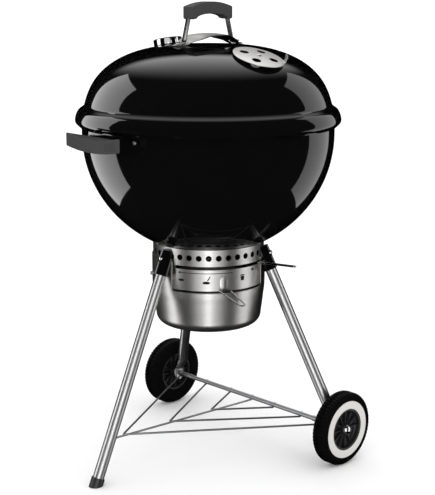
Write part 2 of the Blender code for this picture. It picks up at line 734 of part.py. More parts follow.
def build_sweeper(kettle):
    """Three blades on the bowl's bottom that sweep ash through the vents, and their lever."""
    axis = empty("sweeper_axis", turn_z(LEVER_BEARING), kettle)
    hub_low = bowl_inner_z(0.0) + 0.0015
    profile = [(0, hub_low + 0.015), (0.007, hub_low + 0.0145), (0.011, hub_low + 0.011), (0.011, hub_low)]
    blades = turned("sweeper_blades", profile + [(0.005, hub_low), (0.005, 0.4575), (0, 0.4575)], 16)
    place(blades, ALUMINIUM, axis)
    for index in range(3):
        path = [(reach, bowl_inner_z(reach) + 0.0032) for reach in np.linspace(0.008, 0.106, 7)]
        widths = [0.012 + 0.030 * share for share in np.linspace(0, 1, 7)]
        blade = strap(f"blade_{index}", path, widths, 0.0015)
        join(blades, place(blade, None, axis, turn_z(math.radians(120 * index))))
    half = 0.0042
    nose = arc((LEVER_REACH - half, 0), half, -math.pi / 2, math.pi / 2, 5)
    loop = [(0.009, -half, SLOT_Z)] + [(x, y, SLOT_Z) for x, y in nose] + [(0.009, half, SLOT_Z)]
    lever = wire("sweeper_lever", loop, 0.0018, closed=True)
    place(lever, CHROME, axis)
    eye = tube("lever_eye", 0.010, 0.0030, SLOT_Z - 0.0018, SLOT_Z + 0.0018, 16)
    join(lever, place(eye, None, axis))
    cut(lever, place(cylinder("lever_bore", 0.0053, 0.45, 0.48, 16), None, axis))


# ---------------------------------------------------------------- legs and wheels


def leg_top(bearing):
    return polar(LEG_TOP_REACH, bearing, LEG_TOP_Z)


def build_socket(index, bearing, foot, kettle):
    """The saddle that clasps a leg's top and is bolted to the ash collar."""
    top = leg_top(bearing)
    up = (top - Vector(foot)).normalized()
    frame = pointing(top - 0.012 * up, top + 0.1 * up, (-math.sin(bearing), math.cos(bearing), 0))
    socket = cylinder(f"leg_socket_{index}", LEG_RADIUS + 0.0031, 0, 0.056, 20)
    place(socket, ENAMEL, kettle, frame)
    seat = cylinder(f"leg_seat_{index}", LEG_RADIUS + GAP, -0.01, 0.0125, 20)
    cut(socket, place(seat, None, kettle, frame))
    bucket_room = cylinder(f"bucket_room_{index}", BUCKET_RADIUS + 0.0004, 0.40, BUCKET_TOP_Z + 0.0005, 48)
    cut(socket, place(bucket_room, None, kettle))
    collar_room = cylinder(f"collar_room_{index}", COLLAR_RADIUS + GAP, 0.45, 0.53, 48)
    cut(socket, place(collar_room, None, kettle))
    start = polar(COLLAR_RADIUS, bearing, 0.4835)
    bolt_frame = pointing(start, start + polar(0.1, bearing, 0), (0, 0, 1))
    cut(socket, place(cylinder(f"socket_hole_{index}", 0.0034, -0.005, 0.04, 12), None, kettle, bolt_frame))
    cut(socket, place(cylinder(f"spot_face_{index}", 0.0068, 0.0176, 0.04, 16), None, kettle, bolt_frame))
    profile = [(0, 0.0232), (0.0045, 0.0224), (0.0060, 0.0200), (0.0060, 0.0179), (0.003, 0.0179)]
    bolt = turned(f"socket_bolt_{index}", profile + [(0.003, 0.0007), (0, 0.0007)], 12)
    place(bolt, CHROME, kettle, bolt_frame)


def build_foot_leg(kettle):
    top = leg_top(math.pi)
    foot = Vector((-FOOT_REACH, 0, 0))
    length = (top - foot).length - 0.009
    frame = pointing(top, foot)
    leg = tube("foot_leg", LEG_RADIUS, LEG_RADIUS - LEG_WALL, 0, length)
    place(leg, LEG_METAL, kettle, frame)
    whole = (top - foot).length
    cap = cylinder("foot_cap", FOOT_CAP_RADIUS, whole - FOOT_CAP_HEIGHT, whole + 0.02, 24)
    place(cap, DARK_NYLON, kettle, frame)
    bore = cylinder("cap_bore", LEG_RADIUS + GAP, whole - 0.04, length + GAP, 24)
    cut(cap, place(bore, None, kettle, frame))
    cut(cap, place(box("floor_cutter", (0.2, 0.2, 0.1), (-FOOT_REACH, 0, -0.05)), None, kettle))
    return leg


def section(centre, wide, thin, half_width, half_thickness):
    """An ellipse about centre, as points."""
    return [
        centre + wide * half_width * math.cos(turn) + thin * half_thickness * math.sin(turn)
        for turn in np.linspace(0, 2 * math.pi, 21)[:-1]
    ]


def build_wheel_leg(name, side, kettle):
    """A tube whose lower end is pressed flat round the axle. side is -1 in front and 1 behind."""
    top = leg_top(side * WHEEL_LEG_BEARING)
    bend_reach = FOOT_REACH - math.tan(FOOT_SLOPE) * LEG_BEND_Z
    bend = polar(bend_reach, side * WHEEL_LEG_BEARING, LEG_BEND_Z)
    end = Vector((AXLE_X, side * LEG_END_Y, WHEEL_RADIUS))
    across = Vector((0, side, 0))
    down = (bend - top).normalized()
    wide = (Vector((1, 0, 0)) - down.x * down).normalized()
    thin = down.cross(wide)
    if thin.dot(across) < 0:
        thin = -thin
    rings = [section(spot, wide, thin, LEG_RADIUS, LEG_RADIUS) for spot in (top, bend)]
    level = Vector((1, 0, 0))
    shoulder = Vector((bend.x, side * (LEG_END_Y - 0.0055), LEG_BEND_Z - 0.019))
    rings.append(section(shoulder, level, across, 0.0152, 0.0066))
    for rise, half_width in ((0.0135, 0.0163), (0.0, 0.0168), (-0.0095, 0.0145), (-0.016, 0.0080)):
        rings.append(section(end + Vector((0, 0, rise)), level, across, half_width, 0.0036))
    leg = loft(name, rings)
    place(leg, LEG_METAL, kettle)
    bore = cylinder(f"{name}_bore", LEG_RADIUS - LEG_WALL, -0.01, (top - bend).length - 0.006, 16)
    cut(leg, place(bore, None, kettle, pointing(top, bend)))
    eye = cylinder(f"{name}_eye", AXLE_RADIUS + GAP, -0.02, 0.02, 16)
    cut(leg, place(eye, None, kettle, pointing(end, end + across, (0, 0, 1))))
    return bend


def tyre_profile():
    half = WHEEL_WIDTH / 2
    outer = WHEEL_RADIUS
    outside = [(0.0672, half - 0.0015), (0.0720, half - 0.0003)]
    outside += [(outer - 0.0063, half - 0.0022), (outer - 0.0018, half - 0.0056)]
    tread = [(outer, half - 0.0095), (outer, -half + 0.0095)]
    inside = [(outer - 0.0018, -half + 0.0056), (outer - 0.0063, -half + 0.0022)]
    inside += [(0.0700, -half), (TYRE_BORE, -half + 0.002)]
    return [(TYRE_BORE, half - 0.0015)] + outside + tread + inside


def hub_profile():
    """Half section of the wheel's hub: rim, web and boss."""
    half = WHEEL_WIDTH / 2
    rim = TYRE_BORE - GAP
    bore = AXLE_RADIUS + GAP
    boss = AXLE_RADIUS + 0.0073
    return [
        (bore, half - 0.0015),
        (boss, half - 0.0015),
        (boss, 0.004),
        (rim - 0.004, 0.008),
        (rim - 0.003, half - 0.002),
        (rim, half - 0.002),
        (rim, -half + 0.003),
        (rim - 0.003, -half + 0.003),
        (rim - 0.004, 0.004),
        (boss, 0.0),
        (boss, -half - 0.003),
        (bore, -half - 0.003),
    ]


def build_wheel(place_name, side, kettle):
    """One wheel. Its frame's Z points outwards along the axle."""
    centre = Vector((AXLE_X, side * (WHEEL_INNER_Y + WHEEL_WIDTH / 2), WHEEL_RADIUS))
    spin = pointing(centre, centre + Vector((0, side, 0)), (0, 0, 1))
    hub = empty(f"wheel_axis_{place_name}", spin, kettle)
    half = WHEEL_WIDTH / 2
    place(turned(f"tyre_{place_name}", tyre_profile(), 32, closed=True), RUBBER, hub)
    ring = tube(f"whitewall_{place_name}", WHITEWALL_OUTER, TYRE_BORE + 0.0008, half - 0.0012, half, 32)
    place(ring, WHITEWALL, hub)
    place(turned(f"wheel_hub_{place_name}", hub_profile(), 20, closed=True), DARK_NYLON, hub)
    low = half - 0.0012
    top = low + HUB_CAP_HEIGHT
    cap = [(0, top), (0.0060, top - 0.0008), (0.0105, low + 0.0045), (0.0118, low)]
    place(turned(f"hub_cap_{place_name}", cap + [(0, low)], 20), CHROME, hub)


def build_axle(kettle):
    reach = WHEEL_INNER_Y + WHEEL_WIDTH - 0.0018
    frame = pointing((AXLE_X, 0, WHEEL_RADIUS), (AXLE_X, 1, WHEEL_RADIUS), (0, 0, 1))
    place(cylinder("axle", AXLE_RADIUS, -reach, reach, 16), STEEL, kettle, frame)
    for name, side in (("front", -1), ("back", 1)):
        start = Vector((AXLE_X, side * 0.205, WHEEL_RADIUS))
        along = pointing(start, start + Vector((0, side, 0)), (0, 0, 1))
        bore = AXLE_RADIUS + GAP
        profile = [(bore, 0.052), (0.0076, 0.052), (0.0076, 0.044), (0.0062, 0.0), (bore, 0.0)]
        place(turned(f"axle_sleeve_{name}", profile, 16, closed=True), STEEL, kettle, along)


def build_rack(foot_leg, kettle):
    """Wire rack: a spine from the foot leg to the axle, and three V's welded under it."""
    under = AXLE_RADIUS + RACK_WIRE + GAP
    leg_z = 0.0965
    leg_x = -(FOOT_REACH - math.tan(FOOT_SLOPE) * leg_z) + LEG_RADIUS / math.cos(FOOT_SLOPE)
    socket = cylinder("rack_hole", RACK_WIRE + GAP, -0.012, 0.02, 12)
    cut(foot_leg, place(socket, None, kettle, pointing((leg_x, 0, leg_z), (0, 0, leg_z))))
    start = (leg_x - 0.006, 0, leg_z)
    turns = np.linspace(-math.pi / 2, math.radians(20), 5)
    hook = [(AXLE_X + under * math.cos(a), WHEEL_RADIUS + under * math.sin(a)) for a in turns]
    rack = wire("storage_rack", [start] + [(x, 0, z) for x, z in hook], RACK_WIRE)
    place(rack, STEEL, kettle)
    butt = [(AXLE_X - 0.0076 - RACK_WIRE - GAP, WHEEL_RADIUS - 0.001)]
    vees = ((-0.266, LEG_END_Y - 0.016, butt), (-0.126, 0.163, hook), (0.008, 0.075, hook))
    for index, (apex_x, end_y, end) in enumerate(vees):
        share = (apex_x - start[0]) / (AXLE_X - start[0])
        apex_z = leg_z + (hook[0][1] - leg_z) * share + 0.0032
        right = [(x, -end_y, z) for x, z in reversed(end)]
        left = [(x, end_y, z) for x, z in end]
        vee = wire(f"rack_vee_{index}", right + [(apex_x, 0, apex_z)] + left, RACK_WIRE)
        join(rack, place(vee, None, kettle))


# ---------------------------------------------------------------- grates


def chord(x, radius):
    return math.sqrt(radius * radius - x * x)


def rod_set(name, places, radius, z):
    """Parallel rods along Y, each given as x and its half length, as one helper."""
    bm = bmesh.new()
    for x, half in places:
        spot = Matrix.Translation((x, 0, z)) @ Matrix.Rotation(math.pi / 2, 4, "X")
        bmesh.ops.create_cone(
            bm, cap_ends=True, segments=6, radius1=radius, radius2=radius, depth=2 * half, matrix=spot
        )
    return mesh_object(name, bm)


def build_cooking_grate(kettle):
    """A fixed middle with a hinged flap on each side, for adding coal while food cooks."""
    edge = math.asin(FLAP_X / GRATE_RADIUS)
    back = arc((0, 0), GRATE_RADIUS, math.pi / 2 - edge, math.pi / 2 + edge, 10)
    front = arc((0, 0), GRATE_RADIUS, -math.pi / 2 - edge, -math.pi / 2 + edge, 10)
    frame = wire("cooking_grate", [(x, y, GRATE_Z) for x, y in back + front], GRATE_WIRE, closed=True)
    place(frame, STEEL, kettle)
    count = int(FLAP_X / ROD_PITCH)
    xs = [ROD_PITCH * k for k in range(-count, count + 1)]
    rods = rod_set("grate_rods", [(x, chord(x, GRATE_RADIUS)) for x in xs], GRATE_ROD, GRATE_Z)
    join(frame, place(rods, None, kettle))
    for index, y in enumerate((-0.12, 0.12)):
        bar = cylinder(f"grate_bar_{index}", GRATE_ROD, -FLAP_X, FLAP_X, 6)
        spot = Matrix.Translation((0, y, GRATE_Z - 0.0038)) @ Matrix.Rotation(math.pi / 2, 4, "Y")
        join(frame, place(bar, None, kettle, spot))
    for side, bearing in (("left", math.pi), ("right", 0.0)):
        build_flap(side, bearing, kettle)


def build_flap(side, bearing, kettle):
    hinge_x = FLAP_X + 2 * GRATE_WIRE + 0.0006
    hinge = empty(f"flap_hinge_{side}", turn_z(bearing) @ Matrix.Translation((hinge_x, 0, GRATE_Z)), kettle)
    edge = math.acos((hinge_x + 0.001) / GRATE_RADIUS) - math.radians(2)
    rim = arc((-hinge_x, 0), GRATE_RADIUS, -edge, edge, 10)
    loop = [(x, y, 0) for x, y in rim] + [(0, rim[-1][1], 0), (0, rim[0][1], 0)]
    flap = wire(f"grate_flap_{side}", loop, GRATE_WIRE, closed=True)
    place(flap, STEEL, hinge)
    places = []
    for k in range(1, int((GRATE_RADIUS - hinge_x) / ROD_PITCH) + 1):
        x = ROD_PITCH * k - 0.003
        places.append((x, chord(x + hinge_x, GRATE_RADIUS)))
    join(flap, place(rod_set(f"flap_rods_{side}", places, GRATE_ROD, 0), None, hinge))
    bar = cylinder(f"flap_bar_{side}", GRATE_ROD, 0, GRATE_RADIUS - hinge_x, 6)
    spot = Matrix.Translation((0, 0, -0.0038)) @ Matrix.Rotation(math.pi / 2, 4, "Y")
    join(flap, place(bar, None, hinge, spot))


def build_coal_grate(kettle):
    ring = [(x, y, COAL_GRATE_Z) for x, y in arc((0, 0), COAL_GRATE_RADIUS, 0, 2 * math.pi, 28)[:-1]]
    grate = wire("coal_grate", ring, GRATE_WIRE, closed=True)
    place(grate, STEEL, kettle)
    count = int(COAL_GRATE_RADIUS / COAL_PITCH)
    xs = [COAL_PITCH * k for k in range(-count, count + 1)]
    rods = rod_set("coal_rods", [(x, chord(x, COAL_GRATE_RADIUS)) for x in xs], 0.0034, COAL_GRATE_Z)
    join(grate, place(rods, None, kettle))
    for index, y in enumerate((-0.09, 0.09)):
        reach = chord(y, COAL_GRATE_RADIUS)
        bar = cylinder(f"coal_bar_{index}", 0.0034, -reach, reach, 6)
        spot = Matrix.Translation((0, y, COAL_GRATE_Z - 0.0045)) @ Matrix.Rotation(math.pi / 2, 4, "Y")
        join(grate, place(bar, None, kettle, spot))


# ---------------------------------------------------------------- the grill


def build_grill():
    kettle = empty("kettle_axis", Matrix.Translation((KETTLE_X, 0, 0)), None)
    build_lid(kettle)
    build_lid_handle(kettle)
    build_damper(kettle)
    build_thermometer(kettle)
    build_lid_hook(kettle)
    bowl = build_bowl(kettle)
    build_side_handle("left", math.pi, kettle, bowl)
    build_side_handle("right", 0.0, kettle, bowl)
    build_collar(kettle)
    build_bucket(kettle)
    build_sweeper(kettle)
    foot_leg = build_foot_leg(kettle)
    feet = {1: (math.pi, Vector((-FOOT_REACH, 0, 0)))}
    feet[2] = (-WHEEL_LEG_BEARING, build_wheel_leg("wheel_leg_front", -1, kettle))
    feet[3] = (WHEEL_LEG_BEARING, build_wheel_leg("wheel_leg_back", 1, kettle))
    for index, (bearing, foot) in feet.items():
        build_socket(index, bearing, foot, kettle)
    build_axle(kettle)
    build_wheel("front", -1, kettle)
    build_wheel("back", 1, kettle)
    build_rack(foot_leg, kettle)
    build_cooking_grate(kettle)
    build_coal_grate(kettle)


clear_scene()
parts = new_collection("kettle_charcoal_grill")
cutters = new_collection("cutters")
build_grill()
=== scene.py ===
"""Kettle charcoal grill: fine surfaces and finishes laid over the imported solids, and a small studio."""

import json
import logging
import math
from dataclasses import dataclass
from enum import Enum
from typing import Any, Callable, Optional, Sequence

import bpy
from mathutils import Matrix, Vector

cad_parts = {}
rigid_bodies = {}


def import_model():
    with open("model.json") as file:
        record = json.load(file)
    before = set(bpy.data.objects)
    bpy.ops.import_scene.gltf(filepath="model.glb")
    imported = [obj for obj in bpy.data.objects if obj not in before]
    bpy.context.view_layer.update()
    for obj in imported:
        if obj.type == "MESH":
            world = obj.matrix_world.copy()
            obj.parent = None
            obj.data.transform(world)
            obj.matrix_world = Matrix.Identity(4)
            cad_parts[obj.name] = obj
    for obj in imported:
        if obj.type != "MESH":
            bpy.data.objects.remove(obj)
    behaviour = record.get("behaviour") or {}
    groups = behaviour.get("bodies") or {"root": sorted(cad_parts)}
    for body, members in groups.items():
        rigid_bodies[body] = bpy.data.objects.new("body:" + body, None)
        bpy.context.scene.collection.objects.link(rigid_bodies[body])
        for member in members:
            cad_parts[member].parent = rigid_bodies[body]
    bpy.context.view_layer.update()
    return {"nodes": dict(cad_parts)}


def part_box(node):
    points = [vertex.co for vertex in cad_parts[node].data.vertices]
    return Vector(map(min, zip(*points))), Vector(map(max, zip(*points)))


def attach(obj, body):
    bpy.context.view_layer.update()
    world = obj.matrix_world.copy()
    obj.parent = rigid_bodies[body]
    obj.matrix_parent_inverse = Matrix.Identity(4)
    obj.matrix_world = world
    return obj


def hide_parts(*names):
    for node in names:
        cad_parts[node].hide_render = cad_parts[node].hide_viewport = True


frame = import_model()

log = logging.getLogger("kettle_grill")

Point2 = tuple[float, float]
Point3 = Sequence[float]


# ------------------------------------------------------------------ places


def kettle_axis_x() -> float:
    """X of the kettle's axis, which is the middle of the bowl."""
    low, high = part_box("bowl")
    return (low[0] + high[0]) / 2


AXIS = Matrix.Translation((kettle_axis_x(), 0.0, 0.0))


def polar(reach: float, bearing: float, z: float) -> Vector:
    """A point at a distance and bearing from the kettle's axis."""
    return Vector((reach * math.cos(bearing), reach * math.sin(bearing), z))


def turn_z(angle: float) -> Matrix:
    """A rotation about the vertical."""
    return Matrix.Rotation(angle, 4, "Z")


def pointing(start: Point3, end: Point3, across: Point3 = (0, 1, 0)) -> Matrix:
    """A frame at start with Z towards end.

    Args:
        start: The frame's origin.
        end: What its Z points at.
        across: What its Y keeps as near to as it can.

    Returns:
        The frame as a matrix.
    """
    along = (Vector(end) - Vector(start)).normalized()
    side = Vector(across)
    side = (side - side.dot(along) * along).normalized()
    return Matrix.Translation(start) @ Matrix((side.cross(along), side, along)).transposed().to_4x4()


def spread(low: float, high: float, count: int) -> list[float]:
    """Evenly spaced values, both ends among them."""
    return [low + (high - low) * i / (count - 1) for i in range(count)]


def arc(centre: Point2, radius: float, start: float, end: float, count: int) -> list[Point2]:
    """Points along a circle's arc."""
    return [
        (
            centre[0] + radius * math.cos(a), centre[1] + radius * math.sin(a)
        ) for a in spread(start, end, count)
    ]


def smoothed(points: Sequence[Point3], steps: int = 6) -> list[tuple[float, ...]]:
    """Points along a smooth curve through the given ones.

    Args:
        points: What the curve passes through.
        steps: Pieces between two of them.

    Returns:
        The finer points.
    """
    known = [Vector(p) for p in points]
    known = [2 * known[0] - known[1]] + known + [2 * known[-1] - known[-2]]
    found = []
    for a, b, c, d in zip(known, known[1:], known[2:], known[3:]):
        for i in range(steps):
            t = i / steps
            point = 0.5 * (
                2 * b + (c - a) * t + (2 * a - 5 * b + 4 * c - d) * t**2 + (3 * b - a - 3 * c + d) * t**3
            )
            found.append(tuple(point))
    found.append(tuple(known[-2]))
    return found


def rounded(
    points: Sequence[Point3], radius: float, steps: int = 5, closed: bool = False
) -> list[tuple[float, ...]]:
    """The points with their corners rounded off.

    Args:
        points: Corners of a bent path.
        radius: How far before a corner the bend starts.
        steps: Pieces in each bend.
        closed: Whether the last point leads back to the first.

    Returns:
        The finer points.
    """
    known = [Vector(p) for p in points]
    count = len(known)
    found = [] if closed else [tuple(known[0])]
    for i in range(count) if closed else range(1, count - 1):
        before, corner, after = known[i - 1], known[i], known[(i + 1) % count]
        back, ahead = before - corner, after - corner
        start = corner + back.normalized() * min(radius, back.length * 0.48)
        end = corner + ahead.normalized() * min(radius, ahead.length * 0.48)
        for t in spread(0, 1, steps + 1):
            found.append(tuple(start * (1 - t) ** 2 + corner * 2 * t * (1 - t) + end * t**2))
    if not closed:
        found.append(tuple(known[-1]))
    return found


# ------------------------------------------------------------------ modelling by hand


def deselect() -> None:
    """Leaves nothing selected."""
    if bpy.context.mode != "OBJECT":
        bpy.ops.object.mode_set(mode="OBJECT")
    bpy.ops.object.select_all(action="DESELECT")


def take(obj: bpy.types.Object) -> None:
    """Makes an object the only one selected, and active."""
    deselect()
    obj.select_set(True)
    bpy.context.view_layer.objects.active = obj


def edit(obj: bpy.types.Object) -> None:
    """Opens an object in edit mode with all of it selected."""
    take(obj)
    bpy.ops.object.mode_set(mode="EDIT")
    bpy.ops.mesh.select_all(action="SELECT")


def close_edit(weld: float = 0.000002) -> None:
    """Welds doubles, turns the faces outwards and leaves edit mode."""
    bpy.ops.mesh.select_all(action="SELECT")
    bpy.ops.mesh.remove_doubles(threshold=weld)
    bpy.ops.mesh.normals_make_consistent(inside=False)
    bpy.ops.object.mode_set(mode="OBJECT")


def chain(name: str, points: Sequence[Point3], closed: bool = False) -> bpy.types.Object:
    """Draws a chain of vertices by extruding one, and stays in edit mode.

    Args:
        name: The object's name.
        points: Where the vertices go.
        closed: Whether the chain returns to its start.

    Returns:
        The object.
    """
    deselect()
    bpy.ops.mesh.primitive_plane_add(size=0.001, location=(0, 0, 0))
    obj = bpy.context.active_object
    obj.name = name
    bpy.ops.object.mode_set(mode="EDIT")
    bpy.ops.mesh.select_all(action="SELECT")
    bpy.ops.mesh.merge(type="CENTER")
    bpy.ops.transform.translate(value=Vector(points[0]))
    way = list(points) + ([points[0]] if closed else [])
    for start, end in zip(way, way[1:]):
        step = Vector(end) - Vector(start)
        bpy.ops.mesh.extrude_region_move(TRANSFORM_OT_translate={"value": step})
    bpy.ops.mesh.select_all(action="SELECT")
    if closed:
        bpy.ops.mesh.remove_doubles(threshold=0.000002)
    return obj


def settle(obj: bpy.types.Object, place: Optional[Matrix] = None, angle: float = 35) -> bpy.types.Object:
    """Bakes an object's place into its mesh and shades it smooth.

    Args:
        obj: The object, built about the origin.
        place: Where it goes in the world.
        angle: Edges sharper than this many degrees stay sharp.

    Returns:
        The same object.
    """
    take(obj)
    if place is not None:
        obj.matrix_world = place
        bpy.ops.object.transform_apply(location=True, rotation=True, scale=True)
    bpy.ops.object.shade_smooth_by_angle(angle=math.radians(angle))
    return obj


def turned(name: str, profile: Sequence[Point2], steps: int, closed: bool = False) -> bpy.types.Object:
    """Spins a profile of (radius, z) about Z."""
    obj = chain(name, [(r, 0.0, z) for r, z in profile], closed)
    bpy.ops.mesh.spin(steps=steps, angle=2 * math.pi, center=(0, 0, 0), axis=(0, 0, 1))
    close_edit()
    return obj


def extruded(name: str, outline: Sequence[Point2], low: float, high: float) -> bpy.types.Object:
    """Fills an outline of (x, y) and extrudes it from low to high."""
    obj = chain(name, [(x, y, low) for x, y in outline], closed=True)
    bpy.ops.mesh.edge_face_add()
    bpy.ops.mesh.extrude_region_move(TRANSFORM_OT_translate={"value": (0, 0, high - low)})
    close_edit()
    return obj


def bent_strip(name: str, path: Sequence[Point2], width: float) -> bpy.types.Object:
    """An open strip: a side view of (x, z) drawn out along Y."""
    obj = chain(name, [(x, -width / 2, z) for x, z in path])
    bpy.ops.mesh.extrude_region_move(TRANSFORM_OT_translate={"value": (0, width, 0)})
    close_edit()
    return obj


def rod(
    name: str, points: Sequence[Point3], radius: float, closed: bool = False, fine: int = 4
) -> bpy.types.Object:
    """A round wire along the points."""
    obj = chain(name, points, closed)
    bpy.ops.object.mode_set(mode="OBJECT")
    bpy.ops.object.convert(target="CURVE")
    obj = bpy.context.active_object
    obj.data.bevel_depth = radius
    obj.data.bevel_resolution = fine
    obj.data.use_fill_caps = True
    bpy.ops.object.convert(target="MESH")
    obj = bpy.context.active_object
    edit(obj)
    close_edit()
    return obj


def skinned(name: str, rows: Sequence[Sequence[Point3]], wrap: bool) -> bpy.types.Object:
    """A grid whose rows follow the given ones. With wrap each row closes on itself and the ends are filled.

    Args:
        name: The object's name.
        rows: Rows of points, all of one length.
        wrap: Whether each row is a ring.

    Returns:
        The object.
    """
    full = [list(row) + ([row[0]] if wrap else []) for row in rows]
    across = len(full[0])
    deselect()
    bpy.ops.mesh.primitive_grid_add(x_subdivisions=across - 1, y_subdivisions=len(full) - 1, size=1)
    obj = bpy.context.active_object
    obj.name = name
    for index, vertex in enumerate(obj.data.vertices):
        vertex.co = full[index // across][index % across]
    edit(obj)
    bpy.ops.mesh.remove_doubles(threshold=0.000002)
    if wrap:
        bpy.ops.mesh.fill_holes(sides=0)
    close_edit()
    return obj


def modify(obj: bpy.types.Object, kind: str, **settings: Any) -> bpy.types.Object:
    """Adds a modifier with its settings and applies it."""
    take(obj)
    modifier = obj.modifiers.new(kind.lower(), kind)
    for key, value in settings.items():
        setattr(modifier, key, value)
    bpy.ops.object.modifier_apply(modifier=modifier.name)
    return obj


def bevelled(obj: bpy.types.Object, width: float, segments: int = 4, angle: float = 40) -> bpy.types.Object:
    """Rounds an object's sharp edges."""
    return modify(
        obj, "BEVEL", width=width, segments=segments, limit_method="ANGLE", angle_limit=math.radians(angle)
    )


def thickened(obj: bpy.types.Object, thickness: float, offset: float = -1) -> bpy.types.Object:
    """Gives an open surface its wall."""
    return modify(obj, "SOLIDIFY", thickness=thickness, offset=offset, use_even_offset=True)


def cut(obj: bpy.types.Object, *cutters: bpy.types.Object) -> bpy.types.Object:
    """Cuts each cutter out of an object, and removes the cutters."""
    for cutter in cutters:
        modify(obj, "BOOLEAN", operation="DIFFERENCE", object=cutter, solver="EXACT")
        bpy.data.objects.remove(cutter, do_unlink=True)
    return obj


def joined(name: str, objects: Sequence[bpy.types.Object]) -> bpy.types.Object:
    """Makes several objects one."""
    deselect()
    for obj in objects:
        obj.select_set(True)
    bpy.context.view_layer.objects.active = objects[0]
    bpy.ops.object.join()
    objects[0].name = name
    return objects[0]


def peg(
    name: str, radius: float, low: float, high: float, place: Matrix, sides: int = 32
) -> bpy.types.Object:
    """A plain round cutter about a frame's Z."""
    deselect()
    bpy.ops.mesh.primitive_cylinder_add(vertices=sides, radius=radius, depth=high - low, location=(0, 0, 0))
    obj = bpy.context.active_object
    obj.name = name
    obj.matrix_world = place @ Matrix.Translation((0, 0, (low + high) / 2))
    bpy.ops.object.transform_apply(location=True, rotation=True, scale=True)
    return obj


def block(name: str, size: Point3, place: Matrix, round_by: float = 0.0) -> bpy.types.Object:
    """A box about a frame's origin, its edges rounded if asked."""
    deselect()
    bpy.ops.mesh.primitive_cube_add(size=1, location=(0, 0, 0))
    obj = bpy.context.active_object
    obj.name = name
    obj.scale = size
    bpy.ops.object.transform_apply(location=False, rotation=False, scale=True)
    if round_by:
        bevelled(obj, round_by, 2)
    obj.matrix_world = place
    bpy.ops.object.transform_apply(location=True, rotation=True, scale=True)
    return obj


def reshape(obj: bpy.types.Object, move: Callable[[Vector], Vector]) -> bpy.types.Object:
    """Moves every vertex by a rule."""
    for vertex in obj.data.vertices:
        vertex.co = move(vertex.co.copy())
    return obj


def sliced(obj: bpy.types.Object, step: float) -> bpy.types.Object:
    """Cuts a flat shape's faces at every step along X, so that it can be bent smoothly."""
    xs = [vertex.co.x for vertex in obj.data.vertices]
    edit(obj)
    for index in range(1, int((max(xs) - min(xs)) / step) + 1):
        bpy.ops.mesh.select_all(action="SELECT")
        bpy.ops.mesh.bisect(plane_co=(min(xs) + index * step, 0, 0), plane_no=(1, 0, 0))
    close_edit()
    return obj


def wrapped(obj: bpy.types.Object, radius: float, bearing: float) -> bpy.types.Object:
    """Lays a flat shape of (along, up, out) round the kettle's axis."""
    return reshape(obj, lambda p: polar(radius + p.z, bearing + p.x / radius, p.y))


# ------------------------------------------------------------------ finishes


class Grain(Enum):
    """How a surface's fine pattern lies."""

    EVEN = (1.0, 1.0, 1.0)
    ROUND_THE_KETTLE = (0.02, 0.02, 1.0)
    ALONG_Z = (1.0, 1.0, 0.03)


def linear(colour: str) -> tuple[float, float, float, float]:
    """An sRGB hex colour as linear red, green, blue and alpha."""
    parts = [int(colour[i : i + 2], 16) / 255 for i in (1, 3, 5)]
    return (*[c / 12.92 if c <= 0.04045 else ((c + 0.055) / 1.055) ** 2.4 for c in parts], 1.0)


def add_node(
    tree: bpy.types.NodeTree,
    kind: str,
    settings: Optional[dict[Any, Any]] = None,
    links: Optional[dict[Any, Any]] = None,
) -> bpy.types.Node:
    """Adds a node to a tree.

    Args:
        tree: The node tree.
        kind: The node's type.
        settings: Its properties, or the values of its unlinked inputs.
        links: The sockets that feed its inputs.

    Returns:
        The node.
    """
    node = tree.nodes.new(kind)
    for key, value in (settings or {}).items():
        if isinstance(key, str) and hasattr(node, key):
            setattr(node, key, value)
        else:
            node.inputs[key].default_value = value
    for key, socket in (links or {}).items():
        tree.links.new(socket, node.inputs[key])
    return node


